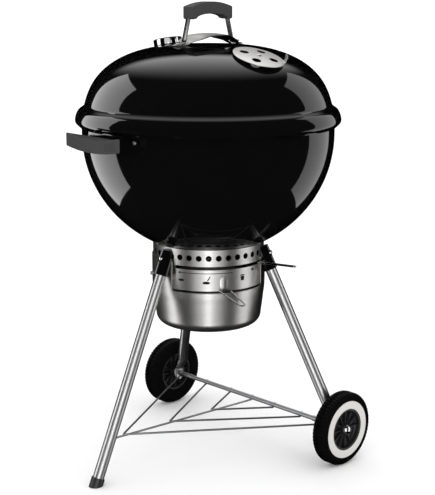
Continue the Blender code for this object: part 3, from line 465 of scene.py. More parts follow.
@dataclass(frozen=True)
class Finish:
    """A finish, with its fine pattern in real sizes.

    Attributes:
        name: What it is and how it was made.
        slot: The record's material slot; not used.
        colour: sRGB hex.
        shade: sRGB hex of the pattern's other colour.
        roughness: Middle of its range.
        roughness_range: How far the pattern moves it.
        grain_mm: Size of the pattern.
        bump_mm: Depth of the pattern.
        smudge_mm: Size of the wider unevenness from handling and making.
    """

    name: str
    slot: str
    colour: str
    shade: str
    roughness: float
    roughness_range: float = 0.05
    metallic: float = 0.0
    grain: Grain = Grain.EVEN
    grain_mm: float = 1.0
    bump_mm: float = 0.02
    smudge_mm: float = 60.0
    transmission: float = 0.0
    ior: float = 1.5
    specular: float = 0.5

    def material(self) -> bpy.types.Material:
        """The finish as a node material, made once."""
        found = bpy.data.materials.get(self.name)
        if found:
            return found
        made = bpy.data.materials.new(self.name)
        made.use_nodes = True
        tree = made.node_tree
        shader = tree.nodes["Principled BSDF"]
        place = add_node(tree, "ShaderNodeTexCoord").outputs["Object"]
        laid = add_node(tree, "ShaderNodeMapping", {"Scale": self.grain.value}, {"Vector": place})
        grain = add_node(
            tree,
            "ShaderNodeTexNoise",
            {"Scale": 1000 / self.grain_mm, "Detail": 3.0, "Roughness": 0.6},
            {"Vector": laid.outputs["Vector"]},
        )
        smudge = add_node(
            tree, "ShaderNodeTexNoise", {"Scale": 1000 / self.smudge_mm, "Detail": 2.0}, {"Vector": place}
        )
        both = add_node(
            tree,
            "ShaderNodeMix",
            {"data_type": "FLOAT", 0: 0.35},
            {2: grain.outputs["Fac"], 3: smudge.outputs["Fac"]},
        )
        colours = add_node(
            tree,
            "ShaderNodeMix",
            {"data_type": "RGBA", 6: linear(self.colour), 7: linear(self.shade)},
            {0: both.outputs[0]},
        )
        rough = add_node(
            tree,
            "ShaderNodeMapRange",
            {
                "From Min": 0.3,
                "From Max": 0.7,
                "To Min": max(self.roughness - self.roughness_range, 0.02),
                "To Max": self.roughness + self.roughness_range,
            },
            {"Value": both.outputs[0]},
        )
        bump = add_node(
            tree,
            "ShaderNodeBump",
            {"Strength": 0.6, "Distance": self.bump_mm / 1000},
            {"Height": grain.outputs["Fac"]},
        )
        tree.links.new(colours.outputs[2], shader.inputs["Base Color"])
        tree.links.new(rough.outputs["Result"], shader.inputs["Roughness"])
        tree.links.new(bump.outputs["Normal"], shader.inputs["Normal"])
        shader.inputs["Metallic"].default_value = self.metallic
        shader.inputs["Transmission Weight"].default_value = self.transmission
        shader.inputs["IOR"].default_value = self.ior
        shader.inputs["Specular IOR Level"].default_value = self.specular
        return made


# Glass fused on steel: deep black, mirror smooth, with a faint orange-peel ripple
ENAMEL = Finish(
    "fused_black_enamel", "black_enamel", "#070707", "#0b0b0c", 0.045, 0.015, grain_mm=9.0, bump_mm=0.004
)
# Glass-filled nylon with a spark-eroded mould texture: even mid grey with a soft sheen
NYLON = Finish(
    "moulded_grey_nylon", "grey_nylon", "#3f3f3f", "#494949", 0.48, 0.08, grain_mm=0.9, bump_mm=0.05
)
DARK_NYLON = Finish(
    "moulded_black_nylon", "dark_nylon", "#151515", "#1d1d1d", 0.4, 0.08, grain_mm=1.2, bump_mm=0.04
)
# Plated and polished steel: a clear mirror, barely uneven
CHROME = Finish(
    "polished_chrome", "bright_chrome", "#d9d9d9", "#cfcfcf", 0.08, 0.03, 1.0, grain_mm=3.0, bump_mm=0.002
)
# Aluminised sheet, brushed round the can: fine level lines
BRUSHED = Finish(
    "brushed_aluminium_sheet", "brushed_aluminium", "#d2d1cf", "#bdbcba", 0.34, 0.05, 1.0,
    Grain.ROUND_THE_KETTLE, grain_mm=1.1, bump_mm=0.008,
)
PRESSED = Finish(
    "pressed_aluminium", "brushed_aluminium", "#d2d1cf", "#c4c3c1", 0.34, 0.05, 1.0, grain_mm=2.0,
    bump_mm=0.01
)
# Drawn aluminium tube, satin: faint lines along it
LEG_TUBE = Finish(
    "drawn_aluminium_tube", "leg_aluminium", "#d0d0d0", "#bebebe", 0.33, 0.05, 1.0, Grain.ALONG_Z,
    grain_mm=1.2, bump_mm=0.006
)
# Zinc-plated steel wire and strip: cooler and darker than the aluminium
PLATED = Finish(
    "zinc_plated_steel", "plated_steel", "#a6a6a8", "#8e8e90", 0.33, 0.06, 1.0, grain_mm=1.5, bump_mm=0.01
)
POLISHED_STRAP = Finish(
    "polished_steel_strap", "plated_steel", "#a8a8a8", "#989898", 0.24, 0.04, 1.0, grain_mm=1.5,
    bump_mm=0.004
)
# Moulded tyre rubber: matte, a little dusty
RUBBER = Finish(
    "moulded_tyre_rubber", "black_tyre", "#070707", "#0e0e0e", 0.6, 0.1, grain_mm=1.6, bump_mm=0.08,
    specular=0.2
)
WHITE_RING = Finish(
    "white_rubber_ring", "white_ring", "#d9d8d4", "#c8c7c2", 0.5, 0.08, grain_mm=1.6, bump_mm=0.03
)
DIAL_FACE = Finish(
    "printed_dial_face", "dial_face", "#e6e6e2", "#dededa", 0.5, 0.05, grain_mm=0.8, bump_mm=0.005
)
DIAL_INK = Finish("dial_ink", "dial_face", "#141414", "#1c1c1c", 0.6, 0.05, grain_mm=0.8, bump_mm=0.002)
GLASS = Finish(
    "dial_window_glass", "dial_glass", "#ffffff", "#fbfbfb", 0.03, 0.01, transmission=1.0, ior=1.5,
    bump_mm=0.0005
)
NEEDLE = Finish(
    "needle_red_lacquer", "needle_red", "#b31212", "#a01010", 0.35, 0.05, grain_mm=0.8, bump_mm=0.003
)
# Screened marks on the collar: flat dark ink
MARK_INK = Finish(
    "screened_mark_ink", "black_enamel", "#1a1a1a", "#222222", 0.5, 0.05, grain_mm=1.0, bump_mm=0.003
)
# Painted shade: darker steel on the shield's downward faces and the collar's inner face, standing for the
# shade there
PAINTED_SHADE_STEEL = Finish(
    "painted_shade_steel", "black_enamel", "#0c0c0c", "#141312", 0.42, 0.1, grain_mm=1.5, bump_mm=0.02
)

METAL_NAMES = {BRUSHED.name, PRESSED.name, LEG_TUBE.name, PLATED.name, POLISHED_STRAP.name, CHROME.name}


def hand_over(
    obj: bpy.types.Object, finish: Finish, body: str, *nodes: str, place: Optional[
        Matrix
    ] = None, angle: float = 35
) -> bpy.types.Object:
    """Settles a finished piece, dresses it and hangs it on its body.

    Args:
        obj: The piece, built in its own frame.
        finish: Its finish.
        body: The body that it rides on.
        nodes: The solids that it stands for.
        place: Its frame in the world; the kettle's axis if left out.
        angle: Edges sharper than this stay sharp.

    Returns:
        The piece.
    """
    settle(obj, AXIS if place is None else AXIS @ place, angle)
    if not obj.data.materials:
        obj.data.materials.append(finish.material())
    if nodes:
        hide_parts(*nodes)
    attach(obj, body)
    log.info("%s rides on %s", obj.name, body)
    return obj


# ------------------------------------------------------------------ the lid


@dataclass
class Lid:
    """The enamelled dome with its rounded skirt."""

    base_radius: float = 0.2816
    base_z: float = 0.812
    top_z: float = 0.954
    taper: float = 0.0365
    power: float = 2.79
    wall: float = 0.0012
    damper_reach: float = 0.1805
    damper_bearing: float = math.radians(262.5)
    damper_lean: float = math.radians(20)
    damper_lean_bearing: float = math.radians(267)
    vent_reach: float = 0.0325
    vent_radius: float = 0.0100
    vent_turn: float = math.radians(40)
    skirt: tuple[Point2, ...] = (
        (0.2801, 0.8190), (0.2845, 0.8152), (0.2925, 0.8092), (0.2965, 0.8025), (0.2992, 0.7955),
        (0.3005, 0.7885), (0.2996, 0.7820), (0.2950, 0.7765), (0.2893, 0.7715),
    )

    def dome(self, count: int) -> list[Point2]:
        """Points down the dome's outside."""
        found = []
        for turn in spread(math.pi / 2, 0, count):
            rise = max(math.sin(turn), 0) ** (2 / self.power)
            reach = max(math.cos(turn), 0) ** (2 / self.power)
            found.append(
                (
                    (self.base_radius - self.taper * rise) * reach,
                    self.base_z + (self.top_z - self.base_z) * rise
                )
            )
        found[0] = (0.0, self.top_z)
        return found

    def height(self, reach: float) -> float:
        """Height of the dome's outside at a distance from the axis."""
        points = self.dome(201)
        for (a, low), (b, high) in zip(points, points[1:]):
            if a <= reach <= b:
                return low + (high - low) * (reach - a) / (b - a)
        return self.base_z

    def seat(self, reach: float, bearing: float) -> Matrix:
        """A frame on the dome: Z along its normal, X down its slope."""
        lean = math.atan2(self.height(reach - 0.005) - self.height(reach + 0.005), 0.01)
        return Matrix.Translation(
            polar(reach, bearing, self.height(reach))
        ) @ turn_z(bearing) @ Matrix.Rotation(lean, 4, "Y")

    def damper_seat(self) -> Matrix:
        """The frame under the damper's middle."""
        spot = polar(self.damper_reach, self.damper_bearing, self.height(self.damper_reach))
        tilt = Matrix.Rotation(self.damper_lean, 4, "Y")
        return Matrix.Translation(spot) @ turn_z(self.damper_lean_bearing) @ tilt

    def vent(self, index: int) -> Matrix:
        """Where one of the four vents lies in the damper's frame."""
        return turn_z(self.vent_turn + index * math.pi / 2) @ Matrix.Translation((self.vent_reach, 0, 0))

    def build(self) -> None:
        """Makes the shell and its four vents."""
        flank = [p for p in self.dome(64) if p[1] > 0.8215]
        profile = flank + [p[:2] for p in smoothed([(r, z, 0) for r, z in self.skirt], 4)]
        shell = thickened(turned("lid_shell", profile, 144), self.wall)
        for index in range(4):
            cut(shell, peg("vent", self.vent_radius, -0.02, 0.02, self.damper_seat() @ self.vent(index)))
        hand_over(shell, ENAMEL, "lid", "lid", angle=50)


@dataclass
class LidHandle:
    """The grip over the lid, its bent strap, the heat shield under it and the two bolts."""

    lid: Lid
    half_span: float = 0.0625
    top_z: float = 1.046
    half_depth: float = 0.0145
    foot_reach: float = 0.090
    grip_width: float = 0.092
    grip_base_drop: float = 0.0365
    strap_drop: float = 0.020
    strap_thickness: float = 0.0025

    def grip_outline(self) -> list[Point2]:
        """Side view of the grip: arched on top, hollowed for the fingers underneath."""
        rise = 0.011
        radius = (self.half_span**2 + rise**2) / (2 * rise)
        lean = math.asin(self.half_span / radius)
        top = arc((0, self.top_z - radius), radius, math.pi / 2 + lean, math.pi / 2 - lean, 25)
        base = self.top_z - self.grip_base_drop
        hollow = [
            (self.grip_width / 2 * math.cos(a), base + 0.010 * math.sin(a)) for a in spread(0, math.pi, 25)
        ]
        end = self.half_span
        foot = [(end, base + 0.0005), (end - 0.006, base - 0.002)]
        return top + foot + hollow + [(-x, z) for x, z in reversed(foot)]

    def strap_path(self) -> list[Point2]:
        """Side view of the strap."""
        above = self.strap_thickness / 2 + 0.0021
        foot = self.lid.height(0.077) + above
        right = [
            (0.0555, self.top_z - self.strap_drop), (0.0735, foot + 0.004), (0.077, foot),
            (0.101, self.lid.height(0.101) + above)
        ]
        corners = [(-x, z, 0) for x, z in reversed(right)] + [(x, z, 0) for x, z in right]
        return [p[:2] for p in rounded(corners, 0.006, 4)]

    def build(self) -> None:
        """Makes the grip, the strap, the shield and the bolts."""
        upright = Matrix.Rotation(math.pi / 2, 4, "X")
        grip = bevelled(
            extruded("lid_grip", self.grip_outline(), -self.half_depth, self.half_depth), 0.0068, 6
        )
        hand_over(grip, NYLON, "lid", "lid_handle_grip", place=upright)
        strap = bevelled(
            thickened(bent_strip("lid_strap", self.strap_path(), 0.014), self.strap_thickness, 0), 0.0006, 2
        )
        hand_over(strap, POLISHED_STRAP, "lid", "lid_handle_strap")
        self.build_shield()
        for side, bearing in (("left", math.pi), ("right", 0.0)):
            profile = [
                (0, 0.0108), (0.0032, 0.0104), (0.0050, 0.0092), (0.0060, 0.0074), (0.0060, 0.0062),
                (0.003, 0.0062)
            ]
            bolt = turned(f"lid_bolt_{side}", profile + [(0.003, -0.008), (0, -0.008)], 32)
            place = self.lid.seat(self.foot_reach, bearing)
            hand_over(bolt, CHROME, "lid", f"lid_handle_bolt_{side}", place=place)

    def build_shield(self) -> None:
        """The arched shield: bright above, painted shade on the faces below, slotted for the strap."""
        low = self.lid.height
        ridge = [
            (0.100, low(0.100) + 0.0012), (0.081, low(0.081) + 0.0012), (0.069, 0.960), (0.048, 0.967),
            (0.027, 0.9745)
        ]
        halves = [0.013, 0.018, 0.025, 0.036, 0.042]
        spine = [(-x, z, h) for (x, z), h in zip(ridge, halves)] + [(0, 0.977, 0.044)]
        spine += [(x, z, h) for (x, z), h in reversed(list(zip(ridge, halves)))]
        rows = []
        for x, z, half in smoothed(spine, 5):
            rows.append(
                [(x, half * t, z - 0.0045 * t * t * (1 - min(abs(x) / 0.08, 1))) for t in spread(-1, 1, 17)]
            )
        shield = thickened(skinned("shield", rows, wrap=False), 0.001, 0)
        for side in (-1, 1):
            cut(shield, block("slot", (0.012, 0.016, 0.05), Matrix.Translation((side * 0.0755, 0, 0.965))))
        for side in (0.0, math.pi):
            cut(shield, peg("hole", 0.0034, 0.0, 0.02, self.lid.seat(self.foot_reach, side)))
        shield.data.materials.append(PRESSED.material())
        shield.data.materials.append(PAINTED_SHADE_STEEL.material())
        # Faces that look down take the darker steel: painted shade under the shield
        for face in shield.data.polygons:
            face.material_index = 1 if face.normal.z < 0 else 0
        hand_over(shield, PRESSED, "lid", "heat_shield")


@dataclass
class Damper:
    """The turning vent plate on the lid, with its thumb tab and rivet."""

    lid: Lid
    radius: float = 0.0565
    sag: float = 0.0037
    height: float = 0.0050
    tab_turn: float = math.radians(57)

    def build(self) -> None:
        """Makes the plate and the rivet."""
        seat = self.lid.damper_seat() @ Matrix.Translation((0, 0, self.height))
        profile = [(self.radius * t, -self.sag * t * t) for t in spread(0, 1, 20)]
        plate = thickened(turned("vent_plate", profile, 96), 0.0012)
        for index in range(4):
            cut(plate, peg("hole", self.lid.vent_radius, -0.01, 0.01, self.lid.vent(index)))
        cut(plate, peg("bore", 0.0033, -0.01, 0.01, Matrix.Identity(4)))
        edge = -self.sag - 0.0006
        path = rounded([(0.050, edge, 0), (0.0578, edge, 0), (0.0592, 0.012, 0)], 0.003, 4)
        tab = bevelled(thickened(bent_strip("tab", [p[:2] for p in path], 0.020), 0.0014, 0), 0.0005, 2)
        tab.matrix_world = turn_z(self.tab_turn)
        settle(tab, tab.matrix_world.copy())
        plate = joined("vent_plate", [bevelled(plate, 0.0003, 2, 60), tab])
        hand_over(plate, PRESSED, "damper", "lid_damper", place=seat)
        profile = [
            (0, 0.0020), (0.0026, 0.0018), (0.0045, 0.0012), (0.0056, 0.0003), (0.003, 0.0003),
            (0.003, -self.height - 0.006)
        ]
        rivet = turned("vent_rivet", profile + [(0, -self.height - 0.006)], 32)
        hand_over(rivet, CHROME, "lid", "lid_damper_rivet", place=seat)


@dataclass
class Thermometer:
    """The dial on the lid's far side."""

    lid: Lid
    radius: float = 0.0335
    height: float = 0.015
    ticks: int = 24

    def build(self) -> None:
        """Makes the bezel, the window and the marked face."""
        seat = self.lid.seat(0.133, math.pi / 2) @ Matrix.Translation((0, 0, 0.0024))
        top, edge = self.height, self.radius
        lip = arc((edge - 0.0022, top - 0.0022), 0.0022, math.pi / 2, 0, 7)
        case = [(0.0300, top - 0.0004)] + lip + [
            (edge, 0.0), (0.0037, 0.0), (0.0037, 0.002), (0.0315, 0.002)
        ]
        case += [(0.0315, top - 0.0014), (0.0300, top - 0.0010)]
        hand_over(
            turned("dial_bezel", case, 64, closed=True), CHROME, "lid", "thermometer_bezel", place=seat
        )
        low = top - 0.0035
        pane = [(0, low + 0.0017), (0.0308, low + 0.0015), (0.0311, low + 0.0012), (0.0311, low), (0, low)]
        hand_over(turned("dial_window", pane, 64), GLASS, "lid", "thermometer_glass", place=seat)
        face = [(0.0310, 0.0062), (0.0310, 0.0052), (0.0042, 0.0052), (0.0042, 0.0062)]
        hand_over(
            turned("dial_plate", face, 64, closed=True), DIAL_FACE, "lid", "thermometer_dial", place=seat
        )
        marks = []
        for index in range(self.ticks):
            if index in (self.ticks * 3 // 4 - 1, self.ticks * 3 // 4, self.ticks * 3 // 4 + 1):
                continue
            length = 0.006 if index % 4 == 0 else 0.0035
            spot = turn_z(
                2 * math.pi * index / self.ticks
            ) @ Matrix.Translation((0.029 - length / 2, 0, 0.00628))
            marks.append(block("tick", (length, 0.0007, 0.0001), spot))
        hand_over(joined("dial_ticks", marks), DIAL_INK, "lid", place=seat)


# ------------------------------------------------------------------ the bowl


@dataclass
class Bowl:
    """The enamelled bowl with its rolled rim and ash vents."""

    radius: float = 0.286
    rim_z: float = 0.8118
    wall_end_z: float = 0.752
    depth: float = 0.273
    wall: float = 0.0012
    lever_bearing: float = math.radians(287)

    def build(self) -> None:
        """Makes the bowl."""
        curve = [
            (
                self.radius * math.cos(t), self.wall_end_z - self.depth * math.sin(t)
            ) for t in spread(0, math.pi / 2, 56)
        ]
        curve[-1] = (0.0, self.wall_end_z - self.depth)
        profile = [(self.radius, self.rim_z - 0.0012), (self.radius, 0.78)] + curve
        shell = thickened(turned("bowl_shell", profile, 144), self.wall)
        cutters = [peg("hub", 0.0058, 0.46, 0.50, Matrix.Identity(4))]
        for index in range(3):
            bearing = self.lever_bearing + math.radians(60 + 120 * index)
            cutters.append(peg("vent", 0.019, 0.46, 0.52, Matrix.Translation(polar(0.064, bearing, 0))))
        cut(shell, *cutters)
        deselect()
        bpy.ops.mesh.primitive_torus_add(
            major_radius=self.radius - 0.0008, minor_radius=0.0014, major_segments=144, minor_segments=12,
            location=(0, 0, self.rim_z - 0.0014),
        )
        rim = settle(bpy.context.active_object, bpy.context.active_object.matrix_world.copy())
        hand_over(joined("bowl_shell", [shell, rim]), ENAMEL, "frame", "bowl", angle=50)


@dataclass
class SideHandle:
    """One side handle: a bowed grip with ribs, its bracket and two screws."""

    side: str
    bearing: float
    reach: float = 0.338
    half_length: float = 0.090
    bow: float = 0.002
    height: float = 0.0285
    depth: float = 0.022
    z: float = 0.761
    sag: float = 0.009
    bowl_radius: float = 0.286
    rib_depth: float = 0.0006

    def outline(self) -> list[Point2]:
        """Plan of the grip, reaching along +X: bowed, with slanted ends."""
        outer = self.reach - self.rib_depth
        radius = (self.half_length**2 + self.bow**2) / (2 * self.bow)
        lean = math.asin((self.half_length - 0.0015) / radius)
        front = arc((outer - radius, 0), radius, -lean, lean, 31)
        inner = self.reach - self.depth
        end = [
            (self.reach - 0.0065, self.half_length - 0.003), (self.reach - 0.017, self.half_length - 0.020)
        ]
        half = end + [(inner, y) for y in spread(self.half_length - 0.030, 0.006, 9)]
        return front + half + [(x, -y) for x, y in reversed(half)]

    def sagged(self, p: Vector) -> Vector:
        """The grip hangs lower in its middle than at its ends."""
        return Vector((p.x, p.y, p.z - self.sag * (1 - (p.y / self.half_length) ** 2)))

    def seat_reach(self, y: float) -> float:
        """Where the bracket lies against the bowl's wall."""
        return math.sqrt(self.bowl_radius**2 - y * y) + 0.0021

    def build(self) -> None:
        """Makes the grip and the bracket."""
        half = self.height / 2
        turn = turn_z(self.bearing)
        bar = extruded(f"side_bar_{self.side}", self.outline(), self.z - half, self.z + half)
        grip = bevelled(reshape(bar, self.sagged), 0.0052, 5)
        ribs = []
        for index in range(9):
            y = 0.044 + 0.0042 * index
            x = self.reach - self.rib_depth - y * y * self.bow / self.half_length**2 - 0.0010
            ribs.append(block("rib", (0.0032, 0.0019, 0.018), Matrix.Translation((x, y, self.z)), 0.0006))
        ribs = reshape(joined("ribs", ribs), self.sagged)
        grip = joined(f"side_bar_{self.side}", [grip, ribs])
        hand_over(grip, NYLON, "frame", f"side_grip_{self.side}", place=turn)
        inner = self.reach - self.depth - 0.0015
        plan = [(self.seat_reach(0.081), 0.081), (self.seat_reach(0.062), 0.062), (inner, 0.055)]
        plan += [(x, -y) for x, y in reversed(plan)]
        path = rounded([(x, -y, 0) for x, y in plan], 0.006, 4)
        bracket = thickened(bent_strip(f"side_strap_{self.side}", [p[:2] for p in path], 0.019), 0.002, 0)
        lying = turn @ Matrix.Translation((0, 0, self.z - 0.005)) @ Matrix.Rotation(math.pi / 2, 4, "X")
        hand_over(bevelled(bracket, 0.0006, 2), ENAMEL, "frame", f"side_bracket_{self.side}", place=lying)
        for end, sign in (("a", -1), ("b", 1)):
            angle = self.bearing + sign * math.asin(0.0725 / self.bowl_radius)
            start = polar(self.bowl_radius, angle, self.z)
            place = pointing(start, start + polar(0.1, angle, 0), (0, 0, 1))
            profile = [
                (0, 0.0075), (0.0026, 0.0072), (0.0042, 0.0061), (0.0048, 0.0048), (0.0048, 0.0040),
                (0.0025, 0.0040)
            ]
            screw = turned(f"side_bolt_{self.side}_{end}", profile + [(0.0025, -0.006), (0, -0.006)], 24)
            hand_over(screw, PLATED, "frame", f"side_screw_{self.side}_{end}", place=place)


# ------------------------------------------------------------------ the ash catcher


@dataclass
class AshCollar:
    """The perforated collar with its lever slot, the marks and the latch."""

    radius: float = 0.1288
    wall: float = 0.0012
    top_z: float = 0.5072
    bottom_z: float = 0.414
    holes: int = 36
    hole_z: float = 0.4885
    first_hole: float = math.radians(6.5)
    slot_z: float = 0.466
    slot_height: float = 0.0076
    slot_from: float = math.radians(191)
    slot_to: float = math.radians(291)
    latch_bearing: float = math.radians(241.5)

    def build(self) -> None:
        """Makes the collar, the marks, the latch tab and its pull."""
        wall = [(self.radius, self.top_z), (self.radius, self.bottom_z)]
        wall += [(self.radius - self.wall, self.bottom_z), (self.radius - self.wall, self.top_z)]
        collar = turned("collar_ring", wall, 144, closed=True)
        pegs = []
        for index in range(self.holes):
            bearing = self.first_hole + 2 * math.pi * index / self.holes
            place = pointing(polar(0.1, bearing, self.hole_z), polar(0.2, bearing, self.hole_z), (0, 0, 1))
            pegs.append(peg("hole", 0.0068, 0.0, 0.05, place, 24))
        cut(collar, joined("holes", pegs))
        sector = arc(
            (0, 0), 0.145, self.slot_from, self.slot_to, 40
        ) + arc((0, 0), 0.115, self.slot_to, self.slot_from, 40)
        half = self.slot_height / 2
        cut(collar, extruded("slot", sector, self.slot_z - half, self.slot_z + half))
        # The inner face takes the darker steel: painted shade inside the collar
        collar.data.materials.append(BRUSHED.material())
        collar.data.materials.append(PAINTED_SHADE_STEEL.material())
        for face in collar.data.polygons:
            middle = math.hypot(face.center.x, face.center.y)
            outward = face.normal.x * face.center.x + face.normal.y * face.center.y
            face.material_index = 1 if middle < self.radius - self.wall * 0.7 and outward < 0 else 0
        hand_over(collar, BRUSHED, "frame", "ash_collar")
        self.build_marks()
        self.build_latch()

    def strip(self, points: Sequence[Point2], bearing: float) -> bpy.types.Object:
        """A flat mark of (along, up) laid on the collar."""
        return wrapped(sliced(extruded("mark", points, 0.0, 0.0002), 0.002), self.radius + 0.0001, bearing)

    def build_marks(self) -> None:
        """An arrow along the slot and three plain signs for the lever's places."""
        marks = []
        long = self.radius * math.radians(57)
        line = [
            (x, 0.4538) for x in spread(0.006, long, 30)
        ] + [(x, 0.4552) for x in spread(long, 0.006, 30)]
        marks.append(self.strip(line, math.radians(194)))
        marks.append(self.strip([(0.007, 0.4515), (0.007, 0.4575), (0.0, 0.4545)], math.radians(194)))
        marks.append(
            self.strip(
                [(0.0, 0.4515), (0.0085, 0.4530), (0.0085, 0.4560), (0.0, 0.4575)], math.radians(275)
            )
        )
        oval = [
            (0.0075 * math.cos(a), 0.4375 + 0.0030 * math.sin(a)) for a in spread(0, 2 * math.pi, 25)[:-1]
        ]
        marks.append(self.strip(oval, math.radians(198)))
        ring = [
            (0.0085 * math.cos(a), 0.4335 + 0.0032 * math.sin(a)) for a in spread(0, 2 * math.pi, 25)[:-1]
        ]
        marks.append(self.strip(ring, math.radians(224)))
        sweep = [(0.0015, 0.4385), (0.0085, 0.4490), (0.0098, 0.4478), (0.0040, 0.4375)]
        marks.append(self.strip(sweep, math.radians(224)))
        pail = [(-0.0050, 0.4440), (0.0050, 0.4440), (0.0040, 0.4340), (-0.0040, 0.4340)]
        marks.append(self.strip(pail, math.radians(262.5)))
        cover = [(-0.0062, 0.4452), (0.0062, 0.4452), (0.0045, 0.4475), (-0.0045, 0.4475)]
        marks.append(self.strip(cover, math.radians(262.5)))
        hand_over(joined("collar_marks", marks), MARK_INK, "frame")

    def build_latch(self) -> None:
        """The leaf-shaped tab and the wire pull that hangs from it."""
        leaf = [
            (0.0098 * math.sin(a) * (1 - 0.12 * math.cos(a)), 0.4315 - 0.0160 * math.cos(a))
            for a in spread(0, 2 * math.pi, 41)[:-1]
        ]
        tab = extruded("latch_leaf", leaf, 0.0, 0.0010)
        edit(tab)
        bpy.ops.mesh.inset(thickness=0.0022, use_individual=False)
        close_edit()
        wrapped(sliced(bevelled(tab, 0.0003, 2, 60), 0.002), self.radius + 0.0006, self.latch_bearing)
        hand_over(tab, PRESSED, "frame", "latch_tab")
        seat = Matrix.Translation(polar(0.1346, self.latch_bearing, 0.4165)) @ turn_z(self.latch_bearing)
        loop = [(0, -0.0125, 0.0), (0, 0.0125, 0.0), (-0.001, 0.0490, -0.0360), (-0.001, 0.0470, -0.0385)]
        loop += [(-0.001, 0.0385, -0.0385), (-0.001, 0.0360, -0.0370)]
        pull = rod("latch_loop", rounded(loop, 0.004, 4, closed=True), 0.0016, closed=True)
        hand_over(pull, CHROME, "latch", "latch_pull", place=seat)


@dataclass
class AshBucket:
    """The can that hangs on the collar, open in front of the slot."""

    radius: float = 0.1312
    top_z: float = 0.476
    bottom_z: float = 0.312
    corner: float = 0.024
    wall: float = 0.001
    window_z: float = 0.409
    window_from: float = math.radians(186.5)
    window_to: float = math.radians(292)

    def build(self) -> None:
        """Makes the can and the rolled edge of its window."""
        low = 0.1225
        side = [
            p[:2] for p in smoothed(
                [(self.radius, self.top_z, 0), (0.1309, 0.409, 0), (0.1280, 0.380, 0), (0.1250, 0.355, 0)],
                8
            )
        ]
        side += arc((low - self.corner, self.bottom_z + self.corner), self.corner, 0, -math.pi / 2, 14)
        can = thickened(turned("ash_can", side + [(0.0, self.bottom_z)], 144), self.wall)
        span = (self.window_to - self.window_from) * self.radius
        middle = (self.window_to + self.window_from) / 2
        frame_of = rounded(
            [
                (-span / 2, self.window_z, 0), (span / 2, self.window_z, 0), (span / 2, 0.50, 0),
                (-span / 2, 0.50, 0)
            ], 0.012, 6, closed=True
        )
        finer: list[Point2] = []
        for a, b in zip(frame_of, frame_of[1:] + frame_of[:1]):
            count = max(2, int(abs(a[0] - b[0]) / 0.005) + 2)
            finer += [
                (a[0] + (b[0] - a[0]) * t, a[1] + (b[1] - a[1]) * t) for t in spread(0, 1, count)[:-1]
            ]
        window = sliced(extruded("window", finer, -0.02, 0.02), 0.004)
        cut(can, wrapped(window, self.radius, middle))
        for bearing in (math.radians(147), math.radians(327)):
            place = pointing(
                polar(self.radius - 0.001, bearing, 0.432), polar(0.2, bearing, 0.432), (0, 0, 1)
            )
            knob = turned(
                "knob", [(0, 0.007), (0.003, 0.0067), (0.004, 0.0055), (0.004, 0.0), (0, 0.0)], 24
            )
            can = joined("ash_can", [can, settle(knob, place)])
        hand_over(can, BRUSHED, "bucket", "ash_bucket")
        edge = [p for p in finer if p[1] < 0.455]
        edge = sorted([p for p in edge if p[0] <= -span / 2 + 0.0125], key=lambda p: (-p[1], p[0])) + sorted(
            [p for p in edge if -span / 2 + 0.0125 < p[0] < span / 2 - 0.0125]
        ) + sorted([p for p in edge if p[0] >= span / 2 - 0.0125], key=lambda p: (p[1], p[0]))
        bead = rod(
            "can_window_bead",
            [tuple(polar(self.radius - 0.0004, middle + x / self.radius, z)) for x, z in edge], 0.0009,
            fine=3
        )
        hand_over(bead, PRESSED, "bucket")


@dataclass
class AshLever:
    """The wire lever that turns the sweeper."""

    bearing: float = math.radians(287)
    reach: float = 0.223
    z: float = 0.466

    def build(self) -> None:
        """Makes the lever's loop and its eye."""
        half = 0.0042
        nose = arc((self.reach - half, 0), half, -math.pi / 2, math.pi / 2, 13)
        loop = [(0.009, -half, self.z)] + [(x, y, self.z) for x, y in nose] + [(0.009, half, self.z)]
        wire = rod("lever_wire", loop, 0.0018, closed=True)
        eye = turned(
            "eye",
            [
                (0.010, self.z + 0.0018), (0.010, self.z - 0.0018), (0.0053, self.z - 0.0018),
                (0.0053, self.z + 0.0018)
            ],
            32, closed=True
        )
        hand_over(
            joined("lever_wire", [wire, eye]), CHROME, "sweeper", "sweeper_lever",
            place=turn_z(self.bearing)
        )


# ------------------------------------------------------------------ the stand


